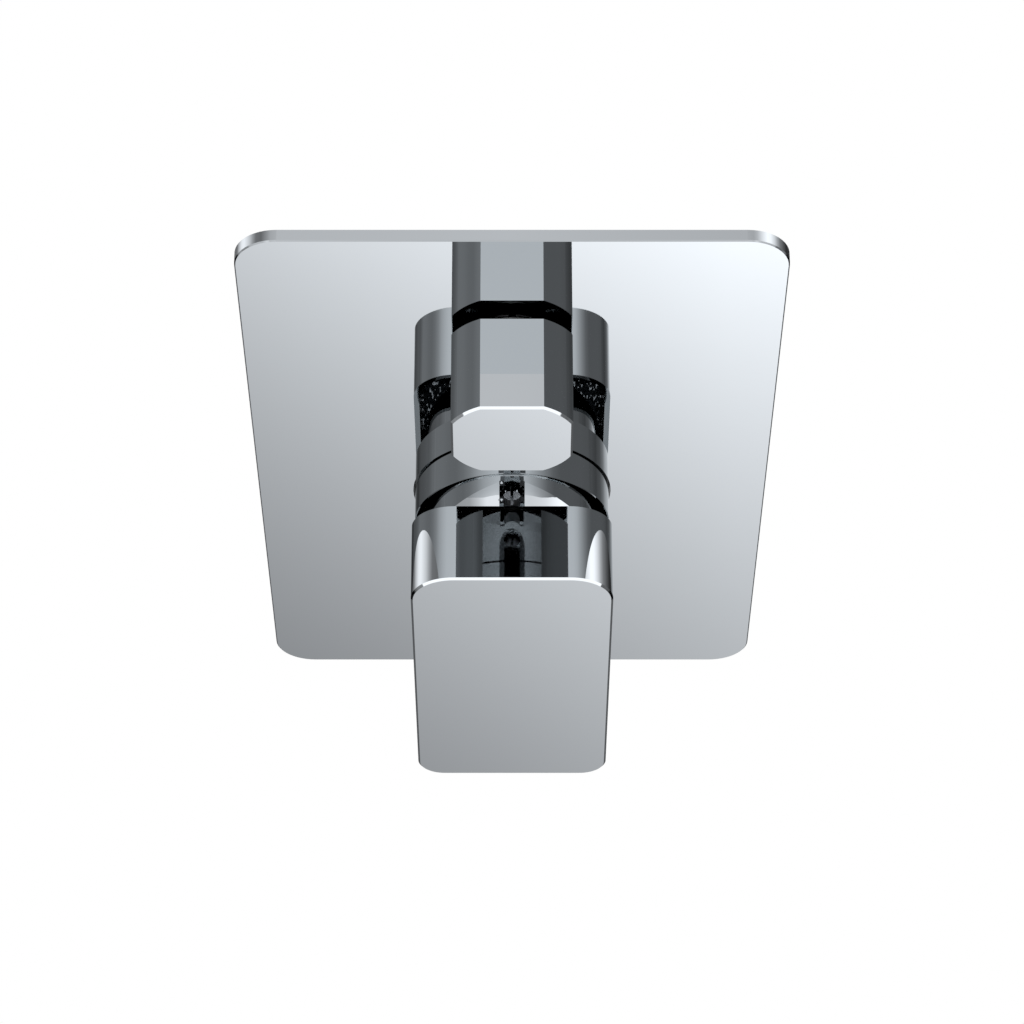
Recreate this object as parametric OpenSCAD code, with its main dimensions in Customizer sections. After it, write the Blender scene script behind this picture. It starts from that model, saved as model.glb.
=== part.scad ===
// Concealed bath and shower mixer: a rectangular wall plate with a diverter
// knob above a single flat lever, and the valve body that is set in the wall.
// The origin lies in the wall plane, midway between the knob and lever axes.
// +X is to the right, +Y goes into the wall and +Z is up.

/* [Plate] */
// Width of the wall plate
plate_w = 125; // [110:1:150]
// Height of the wall plate
plate_h = 199.5; // [190:0.5:230]
// Thickness of the wall plate
plate_t = 3; // [2.5:0.1:4]
// Radius of the plate's corners
plate_corner_r = 10; // [4:0.5:16]
// Chamfer round the plate's front edge
plate_edge = 0.3; // [0.1:0.1:0.6]
// Height of the plate above the knob's axis
plate_above_knob = 41.9; // [36:0.1:50]
// Width of the foam seal behind the plate
gasket_w = 5; // [3:0.5:6]
// Depth of the foam seal, flush with the wall
gasket_t = 1.2; // [0.8:0.1:1.6]
// Distance of the foam seal from the plate's edge
gasket_inset = 2.5; // [2:0.5:4]

/* [Axes] */
// Distance between the knob's axis and the lever's axis
axis_spacing = 68; // [66:1:80]
// Distance of the lever's tilting pin from the plate's face
pivot_out = 10; // [9.5:0.1:10.5]

/* [Lever] */
// Width of the lever
lever_w = 48.5; // [48:0.5:56]
// Height of the lever above its axis
lever_above = 24.4; // [24:0.1:28]
// Length of the lever below its axis
lever_below = 79.9; // [60:0.1:86]
// Distance from the plate's face to the lever's open back
lever_off = 18.6; // [18:0.1:22]
// Depth of the lever from back to front
lever_depth = 20; // [18:0.5:24]
// Thickness of the lever's side walls
lever_wall = 1.3; // [1:0.1:2]
// Thickness of the lever's front wall
lever_front = 2; // [1.5:0.1:3]
// Radius of the lever's upper corners
lever_top_r = 10.4; // [8:0.1:14]
// Radius of the lever's lower corners
lever_bottom_r = 6.8; // [4:0.1:12]
// Chamfer round the lever's front edge
lever_edge = 0.5; // [0.2:0.1:1]
// Thickness of the stiffening ribs inside the lever
rib_t = 2; // [1.5:0.1:3]
// Height of the ribs behind the front wall
rib_h = 5; // [3:0.5:8]

/* [Hub] */
// Radius of the round sides of the lever's hub
hub_side_r = 20.9; // [20:0.1:21.5]
// Thickness of the hub's hollow skirt
hub_wall = 1.8; // [1.4:0.1:2]
// Length of the skirt behind the tilting pin
skirt_len = 8.5; // [6:0.1:8.6]
// Distance from the tilting pin to the roof of the hub's hollow
hub_roof = 6.9; // [6.8:0.1:8]
// Width of the notch that leads to the clamping screw
notch_w = 6.1; // [5:0.1:7]
// Distance from the plate's face to the near end of the notch
notch_out = 10.7; // [10.5:0.1:11.5]
// Height of the notch's floor above the lever's axis
notch_floor = 18; // [17.8:0.1:18.6]
// Thickness of the pad under the notch
notch_pad = 1.6; // [1.2:0.1:1.8]
// Radius of the clamping screws
screw_r = 2; // [1.5:0.1:2.2]
// Length of the lever's clamping screw
lever_screw_len = 19; // [17:0.5:19.5]
// Lean of the lever's clamping screw, in degrees
lever_screw_lean = 25.8; // [24:0.1:27]

/* [Sleeve] */
// Outer radius of the round sleeve under the lever
sleeve_r = 23.9; // [23.5:0.1:24.2]
// Wall of the sleeve
sleeve_wall = 0.6; // [0.5:0.05:0.8]
// Distance that the sleeve stands out of the plate's face
sleeve_out = 9; // [8.5:0.1:9.2]
// Distance that the sleeve reaches in behind the plate's face
sleeve_in = 15; // [13:0.5:17]

/* [Mixing cartridge] */
// Radius of the turning carrier in the cartridge's neck
rotor_r = 11.15; // [11:0.05:11.3]
// Outer radius of the cartridge's neck
neck_r = 14.2; // [13.8:0.1:14.3]
// Outer radius of the cartridge's chamber
chamber_r = 16.2; // [16:0.1:16.3]
// Radius of the chamber's bore
chamber_bore_r = 13.8; // [13.7:0.1:14]
// Radius of the cartridge's foot
foot_r = 17.5; // [17.3:0.1:18]
// Distance from the tilting pin to the chamber's shoulder
shoulder_depth = 16.3; // [16.2:0.1:17]
// Distance from the tilting pin to the centre of the spindle's ball
arm_len = 18.3; // [18.2:0.1:18.8]
// Half of the angle that the lever tilts, in degrees
half_tilt = 11; // [8:0.5:11]
// Radius of the spindle's ball
ball_r = 2.5; // [2.2:0.1:2.6]
// Width of the spindle's square shank
shank_w = 8; // [7:0.5:8]
// Length of the spindle in front of the tilting pin
shank_len = 20; // [16:0.5:21]
// Radius of the tilting pin
pin_r = 1.5; // [1.2:0.1:1.8]
// Thickness of the sliding ceramic disc
slider_disc_t = 2.6; // [2:0.1:3]
// Thickness of the fixed ceramic disc
fixed_disc_t = 3.2; // [2.5:0.1:4]
// Thickness of the rubber seal under the fixed disc
disc_seal_t = 1.2; // [0.8:0.1:1.6]
// Thickness of the cartridge's foot plate
foot_t = 4.8; // [4:0.1:6]
// Radius of the water ways through the discs
port_r = 1.9; // [1.6:0.1:2]
// Distance of the water ways from the cartridge's axis
port_ring_r = 4.8; // [4.6:0.1:5.2]

/* [Knob] */
// Radius of the knob's round corners
knob_r = 15.72; // [15.4:0.02:16.5]
// Distance across the knob's four flats
knob_flats = 27.9; // [26:0.1:29]
// Distance from the plate's face to the back of the knob
knob_off = 2.5; // [2.2:0.1:4]
// Depth of the knob from back to front
knob_depth = 24; // [20:0.5:28]
// Thickness of the knob's walls
knob_wall = 1.1; // [1:0.1:1.5]
// Chamfer round the knob's front edge
knob_edge = 0.5; // [0.2:0.1:0.8]

/* [Diverter valve] */
// Radius of the diverter's stem
stem_r = 3.3; // [3:0.1:3.5]
// Distance that the stem stands out of the plate's face
stem_out = 18; // [15:0.5:20]
// Radius of the plastic insert between stem and knob
insert_r = 5.6; // [5.2:0.1:6]
// Radius of the bonnet's front thread
bonnet_r = 7.8; // [7.4:0.1:8]
// Distance that the bonnet stands out of the plate's face
bonnet_out = 2; // [1.6:0.1:2.2]
// Radius of the bonnet's wide thread in the valve body
bonnet_thread_r = 11; // [10.6:0.1:11.5]
// Radius of the diverter's ceramic discs
diverter_disc_r = 7.6; // [7.2:0.1:8]
// Thickness of each of the diverter's ceramic discs
diverter_disc_t = 3; // [2.5:0.1:3.5]
// Depth of the diverter's seat behind the wall plane
seat_depth = 25; // [24:0.5:28]
// Outer radius of the nut that holds the plate
lock_nut_r = 9.6; // [9.4:0.1:9.7]
// Thickness of the nut that holds the plate
lock_nut_t = 1.6; // [1.2:0.1:1.8]

/* [Valve body] */
// Wall of the body round its bores
body_wall = 3.2; // [3:0.1:4]
// Depth of the inlets' common axis behind the wall plane
inlet_depth = 37; // [36:0.5:42]
// Distance from one inlet's end to the other's
inlet_span = 104; // [96:1:116]
// Outer radius of the half-inch pipe threads
pipe_r = 10.5; // [10:0.1:10.8]
// Depth of the pipe threads
pipe_len = 14; // [12:0.5:16]
// Height of the shower outlet's end above the knob's axis
shower_rise = 37; // [35:0.5:41]
// Distance of the bath outlet's end below the lever's axis
bath_drop = 52; // [48:0.5:58]
// Radius of the water ways in the body
way_r = 4; // [3.5:0.1:4.2]
// Radius of the water ways behind the inlets
inlet_way_r = 3.4; // [3:0.1:3.6]
// Depth of the bath outlet's axis behind the wall plane
bath_depth = 52; // [51:0.5:56]
// Distance between the two columns of fixing holes
lug_span_x = 56; // [52:1:64]
// Distance between the two rows of fixing holes
lug_span_z = 84; // [80:1:88]
// Radius of the fixing holes
lug_hole_r = 2.75; // [2.5:0.05:3.25]
// Thickness of the fixing lugs
lug_t = 6; // [5:0.5:8]

/* [Fits] */
// Clearance between the hub's ball and the sleeve
ball_gap = 0.1; // [0.05:0.05:0.3]
// Radial clearance of pieces that turn in each other
run_fit = 0.05; // [0.02:0.01:0.08]
// Clearance between seated pieces that don't turn
seat_fit = 0.1; // [0.05:0.01:0.15]
// Clearance between pieces that move past each other
free_gap = 0.3; // [0.25:0.05:0.4]
// Clearance of the sleeve in the plate's hole
plate_gap = 0.5; // [0.3:0.1:0.8]
// Thickness of the small sealing rings
cord_r = 0.9; // [0.8:0.05:1]

/* [Hidden] */
$fn = 96;

// One overrun serves every cut
overrun = 1;

// Heights of the two axes
z_knob = axis_spacing / 2;
z_lever = -axis_spacing / 2;
plate_top = z_knob + plate_above_knob;
plate_mid = plate_top - plate_h / 2;

// Distances out of the wall plane along the lever's axis
pivot_at = plate_t + pivot_out;
mouth_at = plate_t + sleeve_out;
sleeve_end = plate_t - sleeve_in;
lever_back_at = plate_t + lever_off;
lever_front_at = lever_back_at + lever_depth;
roof_at = pivot_at + hub_roof;
skirt_at = pivot_at - skirt_len;

// Hub, sleeve and neck radii that follow each other
sleeve_bore_r = sleeve_r - sleeve_wall;
ball_surface_r = sleeve_bore_r - ball_gap;
hub_rise = ball_surface_r - hub_side_r;
body_neck_r = sleeve_bore_r - seat_fit;

// Cartridge stack from the shoulder down
shoulder_at = pivot_at - shoulder_depth;
shell_t = 1.5;
ceiling_at = shoulder_at - shell_t;
flange_t = 1.3;
flange_top = ceiling_at - free_gap;
flange_bottom = flange_top - flange_t;
carrier_t = 3;
carrier_top = flange_bottom - free_gap;
carrier_bottom = carrier_top - carrier_t;
disc_plane = carrier_bottom - slider_disc_t;
fixed_bottom = disc_plane - fixed_disc_t;
seal_bottom = fixed_bottom - disc_seal_t;
housing_end = seal_bottom - shell_t;
foot_end = housing_end - foot_t;
foot_flange_t = 3;
foot_flange_top = housing_end + foot_flange_t;

// Turning carrier
neck_bore_r = rotor_r + run_fit;
rotor_cap = 0.8;
rotor_top = pivot_at + pin_r + rotor_cap;
neck_len = 11.8;
neck_top = shoulder_at + neck_len;
collar_r = 4.6;
collar_rise = 4.1;
slot_side = shank_w / 2 + seat_fit + run_fit;
slot_half = 6.6;
ball_offset = arm_len * tan(half_tilt);
carrier_slot_half = collar_r + ball_offset + free_gap;
carrier_half_w = 9.3;
carrier_r = 9.6;
rail_w = 2.4;
stop_half_angle = 9;
turn_range = 45;
stop_slack = 2;
stop_tab_angle = 14;
stop_t = 1.8;
stop_rise = 2;
stop_reach = 2;

// Discs
fixed_disc_r = chamber_bore_r - seat_fit;
port_angle = 52;
port_half_angle = 27;
pocket_share = 0.6;
pocket_depth = slider_disc_t * pocket_share;
pocket_r = 5;
pocket_rise = 2.4;
foot_cord = 0.6;
foot_seal_r = port_r + 1.5 * foot_cord;

// Diverter
bonnet_front = plate_t + bonnet_out;
seat_at = -seat_depth;
lip_seal_t = 1.8;
seat_disc_at = seat_at + lip_seal_t;
turning_disc_at = seat_disc_at + diverter_disc_t;
stem_foot_at = turning_disc_at + diverter_disc_t;
stem_foot_t = 3;
stem_foot_r = diverter_disc_r - 0.8 * cord_r;
stem_cord = 0.5;
hex_at = -6;
hex_t = 3.6;
hex_r = bonnet_thread_r + 1.6 * cord_r;
skirt_r = bonnet_thread_r - cord_r;
window_half = 3;
clip_t = 0.9;
clip_at = bonnet_front + free_gap;
clip_groove = 0.7;
clip_r = stem_r + 1.4 * clip_t;
stem_flat = 2.4;
diverter_port_r = 1.8;
diverter_port_ring = 4.4;

// Knob
knob_back_at = plate_t + knob_off;
knob_front_at = knob_back_at + knob_depth;
stem_end = plate_t + stem_out;
knob_front_t = 2.5;
insert_at = clip_at + clip_t + 5 * seat_fit;
boss_wall = 2.2;
boss_bore_r = insert_r + seat_fit;
boss_r = boss_bore_r + boss_wall;
knob_screw_at = (insert_at + stem_end) / 2;
knob_screw_len = 8;
knob_web = 1.4;
screw_web = screw_r + knob_web;

// Body
nut_bore_r = foot_r + body_wall * 0.75;
nut_r = nut_bore_r - run_fit;
nut_slot_w = 3.2;
nut_slot_depth = 2.4;
drum_r = body_neck_r + body_wall * 0.8;
drum_top = sleeve_end - free_gap;
drum_len = 16;
pipe_boss_r = pipe_r + body_wall;
valve_bore_r = 7.6;
valve_len = 13;
strainer_len = 2.5;
inlet_end = inlet_span / 2;
valve_end = inlet_end - pipe_len;
valve_start = valve_end - strainer_len - valve_len;
mixed_depth = 30;
mixed_entry = 16;
diverter_drum_r = bonnet_thread_r + body_wall;
diverter_bore_r = bonnet_thread_r + run_fit;
channel_half = 8;
column_r = way_r + body_wall;
lug_inset = 4;
lug_at = lug_inset - bath_depth;
lug_row = 20;
lug_r = 7;
lug_arm = 5;

chrome = [0.78, 0.8, 0.83];
brass = [0.79, 0.64, 0.34];
rubber = [0.07, 0.07, 0.08];
ceramic = [0.93, 0.93, 0.9];
plastic = [0.86, 0.88, 0.9];
steel = [0.62, 0.63, 0.65];
red_plastic = [0.72, 0.12, 0.1];
foam = [0.2, 0.2, 0.21];

// Places a lathe drawing so that its z axis points out of the wall
module on_axis(height) {
    translate([0, 0, height]) rotate([90, 0, 0]) children();
}

// Round bar between two places along the axis
module bar(r, from, to) {
    translate([0, 0, from]) cylinder(r = r, h = to - from);
}

// Cone between two places along the axis
module cone(r_from, r_to, from, to) {
    translate([0, 0, from]) cylinder(r1 = r_from, r2 = r_to, h = to - from);
}

// Tube between two places along the axis
module tube(r_out, r_in, from, to) {
    difference() {
        bar(r_out, from, to);
        bar(r_in, from - overrun, to + overrun);
    }
}

// Sealing ring with a round section
module o_ring(r_mid, at, cord = cord_r) {
    translate([0, 0, at]) rotate_extrude() translate([r_mid, 0]) circle(r = cord, $fn = 32);
}

// Groove for such a ring, cut from the outside of a bar
module ring_groove(r_bar, at, cord = cord_r) {
    tube(r_bar + overrun, r_bar - 2 * cord - run_fit, at - cord - run_fit, at + cord + run_fit);
}

// Block given by its limits along each axis
module block(x, y, z) {
    translate([x[0], y[0], z[0]]) cube([x[1] - x[0], y[1] - y[0], z[1] - z[0]]);
}

// Outline with rounded corners, the upper and lower ones apart
module rounded_outline(half_w, top, bottom, r_top, r_bottom) {
    for (side = [-1, 1]) {
        translate([side * (half_w - r_top), top - r_top]) circle(r = r_top);
        translate([side * (half_w - r_bottom), r_bottom - bottom]) circle(r = r_bottom);
    }
    translate([r_top - half_w, 0]) square([2 * (half_w - r_top), top]);
    translate([r_bottom - half_w, -bottom]) square([2 * (half_w - r_bottom), bottom]);
    translate([-half_w, r_bottom - bottom]) square([2 * half_w, top - r_top + bottom - r_bottom]);
}

// Slanted rim that closes such an outline at its front
module chamfer_rim(half_w, top, bottom, r_top, r_bottom, edge) {
    for (side = [-1, 1]) {
        translate([side * (half_w - r_top), top - r_top, 0])
            cylinder(r1 = r_top, r2 = r_top - edge, h = edge);
        translate([side * (half_w - r_bottom), r_bottom - bottom, 0])
            cylinder(r1 = r_bottom, r2 = r_bottom - edge, h = edge);
    }
    rotate([90, 0, 0]) translate([0, 0, r_top - top]) linear_extrude(top - r_top + bottom - r_bottom)
        polygon([[-half_w, 0], [half_w, 0], [half_w - edge, edge], [edge - half_w, edge]]);
    half_top = half_w - r_top;
    rotate([90, 0, 90]) translate([0, 0, -half_top]) linear_extrude(2 * half_top)
        polygon([[0, 0], [top, 0], [top - edge, edge], [0, edge]]);
    half_bottom = half_w - r_bottom;
    rotate([90, 0, 90]) translate([0, 0, -half_bottom]) linear_extrude(2 * half_bottom)
        polygon([[0, 0], [-bottom, 0], [edge - bottom, edge], [0, edge]]);
}

// Slab with rounded corners and a chamfered front edge
module chamfered_slab(half_w, top, bottom, r_top, r_bottom, depth, edge) {
    linear_extrude(depth - edge) rounded_outline(half_w, top, bottom, r_top, r_bottom);
    translate([0, 0, depth - edge]) chamfer_rim(half_w, top, bottom, r_top, r_bottom, edge);
}

// Ring of the plate's own outline, set in from its edge
module plate_frame(inset, width) {
    inner = inset + width;
    difference() {
        rounded_outline(plate_w / 2 - inset, plate_h / 2 - inset, plate_h / 2 - inset,
            plate_corner_r - inset, plate_corner_r - inset);
        rounded_outline(plate_w / 2 - inner, plate_h / 2 - inner, plate_h / 2 - inner,
            plate_corner_r * 0.3, plate_corner_r * 0.3);
    }
}

module wall_plate() color(chrome) difference() {
    on_axis(plate_mid) difference() {
        chamfered_slab(plate_w / 2, plate_h / 2, plate_h / 2,
            plate_corner_r, plate_corner_r, plate_t, plate_edge);
        translate([0, 0, -overrun]) linear_extrude(gasket_t + overrun) plate_frame(gasket_inset, gasket_w);
    }
    on_axis(z_lever) bar(sleeve_r + plate_gap, -overrun, plate_t + overrun);
    on_axis(z_knob) bar(bonnet_r + plate_gap, -overrun, plate_t + overrun);
}

module plate_gasket() color(foam) on_axis(plate_mid)
    linear_extrude(gasket_t) plate_frame(gasket_inset + seat_fit, gasket_w - 2 * seat_fit);

module barrel_sleeve() color(chrome) on_axis(z_lever) difference() {
    tube(sleeve_r, sleeve_bore_r, sleeve_end, mouth_at);
    cone(sleeve_bore_r, sleeve_r, mouth_at - sleeve_wall / 2, mouth_at + sleeve_wall / 2);
}

module sleeve_seal() color(rubber) on_axis(z_lever)
    o_ring(body_neck_r - cord_r, sleeve_seal_at);
sleeve_seal_at = (sleeve_end + shoulder_at) / 2;

// Section of the hub: two half circles with short flats between them
module hub_outline(r) {
    for (side = [-1, 1]) translate([0, side * hub_rise]) circle(r = r);
    translate([-r, -hub_rise]) square([2 * r, 2 * hub_rise]);
}

// Ball round the tilting pin, trimmed to the hub's section
module hub_ball(inset, from, to) intersection() {
    translate([0, 0, pivot_at]) sphere(r = ball_surface_r - inset);
    translate([0, 0, from]) linear_extrude(to - from) hub_outline(hub_side_r - inset);
}

// Lines the children up with the lever's clamping screw: z points out of it
module on_lever_screw() {
    translate([0, shank_w / 2 + run_fit, pivot_at + hub_roof + lever_screw_root])
        rotate([-90 - lever_screw_lean, 0, 0]) children();
}
lever_screw_root = 5.1;

// One-piece casting: an open-backed shell, a hollow ball hub that rides in the
// sleeve's mouth, a square socket for the spindle and ribs behind the front
module lever_handle() color(chrome) on_axis(z_lever) {
    inner_w = lever_w / 2 - lever_wall;
    inner_top = lever_above - lever_wall;
    inner_bottom = lever_below - lever_wall;
    cavity_end = lever_front_at - lever_front;
    notch_at = plate_t + notch_out;
    difference() {
        union() {
            difference() {
                lever_shell(inner_w, inner_top, inner_bottom, cavity_end);
                hub_ball(hub_wall, skirt_at - overrun, roof_at);
            }
            intersection() {
                hub_ball(0, skirt_at, roof_at + overrun);
                lever_screw_pad(notch_at - notch_pad);
            }
        }
        translate([0, 0, roof_at - overrun]) linear_extrude(shank_len - hub_roof + overrun + seat_fit)
            square(shank_w + 2 * seat_fit, center = true);
        block([-notch_w / 2, notch_w / 2], [notch_floor, inner_top], [notch_at, lever_back_at + lever_wall]);
        on_lever_screw() bar(screw_r + run_fit, -overrun, lever_screw_len + overrun);
    }
}

// Shell with the solid form of the hub and its ribs
module lever_shell(inner_w, inner_top, inner_bottom, cavity_end) {
    difference() {
        translate([0, 0, lever_back_at]) chamfered_slab(lever_w / 2, lever_above, lever_below,
            lever_top_r, lever_bottom_r, lever_depth, lever_edge);
        translate([0, 0, lever_back_at - overrun]) linear_extrude(cavity_end - lever_back_at + overrun)
            rounded_outline(inner_w, inner_top, inner_bottom,
                lever_top_r - lever_wall, lever_bottom_r - lever_wall);
    }
    hub_ball(0, skirt_at, cavity_end);
    bar(hub_side_r / 2, roof_at, cavity_end + lever_front / 2);
    lever_ribs(inner_w, inner_top, inner_bottom, cavity_end);
}

// Ribs behind the front wall, from the hub to the shell
module lever_ribs(inner_w, inner_top, inner_bottom, cavity_end) {
    z_range = [cavity_end - rib_h, cavity_end + lever_front / 2];
    side = inner_w + lever_wall / 2;
    half = rib_t / 2;
    block([-half, half], [-inner_bottom - lever_wall / 2, inner_top + lever_wall / 2], z_range);
    for (share = rib_place_shares)
        block([-side, side], [-inner_bottom * share - half, half - inner_bottom * share], z_range);
}
rib_place_shares = [0, 0.5, 0.75];

// Metal round the clamping screw, inside the hub
module lever_screw_pad(from) {
    half = notch_w / 2 + notch_pad;
    block([-half, half], [notch_floor - notch_pad, lever_above], [from, roof_at + overrun]);
    block([-half, half], [gusset_foot, lever_above], [gusset_at, roof_at + overrun]);
}
gusset_foot = rotor_r;
gusset_at = roof_at - notch_pad * 1.4;

// Grub screw with a cone point and a slot in the end that faces the user
module grub_screw(len) difference() {
    half = screw_r * slot_width_share / 2;
    reach = screw_r + overrun;
    union() {
        bar(screw_r, screw_r / 2, len);
        cone(screw_r / 2, screw_r, 0, screw_r / 2);
    }
    block([-half, half], [-reach, reach], [len - screw_r * slot_depth_share, len + overrun]);
}
slot_width_share = 0.35;
slot_depth_share = 0.7;

module handle_set_screw() color(steel) on_axis(z_lever) on_lever_screw()
    translate([0, 0, lever_screw_tip]) grub_screw(lever_screw_len - lever_screw_tip);
lever_screw_tip = screw_r / 2 * tan(lever_screw_lean);

// Tilting spindle: square shank, eye for the pin, tail and ball
module cartridge_spindle() color(steel) on_axis(z_lever) difference() {
    union() {
        block([-shank_w / 2, shank_w / 2], [-shank_w / 2, shank_w / 2], [pivot_at, pivot_at + shank_len]);
        translate([-shank_w / 2, 0, pivot_at]) rotate([0, 90, 0]) cylinder(r = shank_w / 2, h = shank_w);
        translate([0, 0, pivot_at]) rotate([180 + half_tilt, 0, 0])
            cylinder(r = ball_r * 0.76, h = arm_len / cos(half_tilt));
        translate([0, ball_offset, pivot_at - arm_len]) sphere(r = ball_r);
    }
    translate([-shank_w, 0, pivot_at]) rotate([0, 90, 0]) cylinder(r = pin_r + run_fit, h = 2 * shank_w);
}

module spindle_pin() color(steel) on_axis(z_lever)
    translate([-pin_half, 0, pivot_at]) rotate([0, 90, 0]) cylinder(r = pin_r, h = 2 * pin_half);
pin_half = 10.2;

// Carrier that turns with the lever: cheeks for the pin, a slot for the
// spindle, a stop lug, a retaining flange and rails for the sliding piece
module cartridge_rotor() color(plastic) on_axis(z_lever) difference() {
    union() {
        bar(rotor_r, flange_bottom, rotor_top);
        bar(chamber_bore_r - free_gap, flange_bottom, flange_top);
        stop_sector(rotor_r - overrun, rotor_r + stop_reach, 90, stop_half_angle,
            [neck_top + stop_rise + free_gap, neck_top + stop_rise + stop_t]);
        for (side = [-1, 1]) translate([side * (carrier_half_w + free_gap + rail_w / 2), 0, carrier_bottom])
            block([-rail_w / 2, rail_w / 2], [-carrier_r / 2, carrier_r / 2],
                [0, flange_bottom - carrier_bottom]);
    }
    block([-slot_side, slot_side], [-slot_half, slot_half], [flange_bottom - overrun, rotor_top + overrun]);
    block([-collar_r - free_gap, collar_r + free_gap], [-carrier_slot_half, carrier_slot_half],
        [flange_bottom - overrun, carrier_top + collar_rise + free_gap]);
    translate([-rotor_r, 0, pivot_at]) rotate([0, 90, 0]) cylinder(r = pin_r + run_fit / 2, h = 2 * rotor_r);
}

// Piece of a ring between two radii, centred on an angle
module stop_sector(r_in, r_out, middle, half, z_range) intersection() {
    tube(r_out, r_in, z_range[0], z_range[1]);
    rotate([0, 0, middle]) translate([0, 0, z_range[0]]) linear_extrude(z_range[1] - z_range[0])
        polygon([[0, 0], [2 * r_out * cos(half), -2 * r_out * sin(half)],
            [2 * r_out * cos(half), 2 * r_out * sin(half)]]);
}

// Ring on the neck with two tabs that stop the carrier at each end of its turn
module hot_limit_ring() color(red_plastic) on_axis(z_lever) {
    tube(neck_r, rotor_r + free_gap, neck_top, neck_top + stop_rise);
    for (side = [-1, 1]) stop_sector(rotor_r + free_gap, rotor_r + stop_reach,
        90 + side * (turn_range + stop_half_angle + stop_slack + stop_tab_angle / 2), stop_tab_angle / 2,
        [neck_top + stop_rise - stop_t / 2, neck_top + stop_rise + stop_t]);
}

module cartridge_housing() color(plastic) on_axis(z_lever) difference() {
    union() {
        bar(neck_r, ceiling_at, neck_top);
        bar(chamber_r, housing_end, shoulder_at);
        bar(foot_r, housing_end, foot_flange_top);
    }
    bar(neck_bore_r, ceiling_at - overrun, neck_top + overrun);
    bar(chamber_bore_r, housing_end - overrun, ceiling_at);
}

// Sliding piece with the socket that the spindle's ball moves
module disc_carrier() color(plastic) on_axis(z_lever) translate([0, ball_offset, 0]) difference() {
    union() {
        intersection() {
            bar(carrier_r, carrier_bottom, carrier_top);
            block([-carrier_half_w, carrier_half_w], [-carrier_r, carrier_r], [carrier_bottom, carrier_top]);
        }
        bar(collar_r, carrier_top, carrier_top + collar_rise);
    }
    bar(ball_r + free_gap, carrier_bottom + seat_fit * 4, carrier_top + collar_rise + overrun);
}

module moving_disc() color(ceramic) on_axis(z_lever) translate([0, ball_offset, 0]) difference() {
    intersection() {
        bar(carrier_r, disc_plane, carrier_bottom);
        block([-carrier_half_w, carrier_half_w], [-carrier_r, carrier_r], [disc_plane, carrier_bottom]);
    }
    translate([0, pocket_rise, 0]) bar(pocket_r, disc_plane - overrun, disc_plane + pocket_depth);
}

// Hot, cold and mixed water ways through a disc or its seal, each a curved slot
module water_ways(from, to) {
    for (middle = [90, 270 - port_angle, 270 + port_angle])
        stop_sector(port_ring_r - port_r, port_ring_r + port_r, middle, port_half_angle, [from, to]);
}

module fixed_disc() color(ceramic) on_axis(z_lever) difference() {
    bar(fixed_disc_r, fixed_bottom, disc_plane);
    water_ways(fixed_bottom - overrun, disc_plane + overrun);
}

module disc_gasket() color(rubber) on_axis(z_lever) difference() {
    bar(fixed_disc_r - seat_fit, seal_bottom, fixed_bottom);
    water_ways(seal_bottom - overrun, fixed_bottom + overrun);
}

module cartridge_foot() color(plastic) on_axis(z_lever) difference() {
    union() {
        bar(foot_r, foot_end, housing_end);
        bar(fixed_disc_r, housing_end, seal_bottom);
    }
    at_ports() bar(port_r, foot_end - overrun, seal_bottom + overrun);
    at_ports() bar(foot_seal_r + foot_cord + run_fit, foot_end - overrun, foot_end + 2 * foot_cord + run_fit);
}

// Puts the children at each of the cartridge's three ports
module at_ports() {
    for (at = [90, 270 - port_angle, 270 + port_angle])
        rotate([0, 0, at]) translate([port_ring_r, 0, 0]) children();
}

module foot_seals() color(rubber) on_axis(z_lever)
    at_ports() o_ring(foot_seal_r, foot_end + foot_cord, foot_cord);

// Ring nut that clamps the cartridge's foot, with four slots for its key
module cartridge_nut() color(brass) on_axis(z_lever) difference() {
    tube(nut_r, chamber_r + seat_fit, foot_flange_top, shoulder_at);
    for (turn = [0, 90]) rotate([0, 0, turn]) block([-nut_slot_w / 2, nut_slot_w / 2],
        [-nut_r - overrun, nut_r + overrun], [shoulder_at - nut_slot_depth, shoulder_at + overrun]);
}

// Body of the valve, cast in one piece and set in the wall
module valve_body() color(brass) difference() {
    union() {
        on_axis(z_lever) {
            bar(body_neck_r, drum_top - overrun, shoulder_at);
            bar(drum_r, drum_top - drum_len, drum_top);
            cone(pipe_boss_r * 1.2, drum_r, -inlet_depth, drum_top - drum_len);
        }
        on_axis(z_knob) {
            bar(diverter_drum_r, seat_at - body_wall, hex_at);
            cone(1.3 * column_r, diverter_drum_r, -bath_depth, seat_at - body_wall);
        }
        translate([-inlet_end, inlet_depth, z_lever]) rotate([0, 90, 0])
            cylinder(r = pipe_boss_r, h = inlet_span);
        body_block([-channel_half, channel_half], [z_lever, z_knob], [-mixed_depth - column_r, drum_top]);
        translate([0, inlet_depth, z_knob]) cylinder(r = pipe_boss_r, h = shower_rise);
        translate([0, bath_depth, z_lever - bath_drop]) {
            cylinder(r = column_r, h = bath_len + column_r);
            cylinder(r = pipe_boss_r, h = pipe_len + body_wall);
        }
        fixing_lugs();
    }
    body_bores();
    body_ways();
    at_lugs() bar(lug_hole_r, lug_at - overrun, lug_at + lug_t + overrun);
}
bath_len = axis_spacing + bath_drop;

// Block given by x and z limits and by its places out of the wall plane
module body_block(x, z, out) {
    translate([x[0], -out[1], z[0]]) cube([x[1] - x[0], out[1] - out[0], z[1] - z[0]]);
}

// Puts the children at each fixing hole
module at_lugs() {
    for (side = [-1, 1], row = [lug_row, lug_row - lug_span_z])
        translate([side * lug_span_x / 2, 0, 0]) on_axis(row) children();
}

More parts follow.
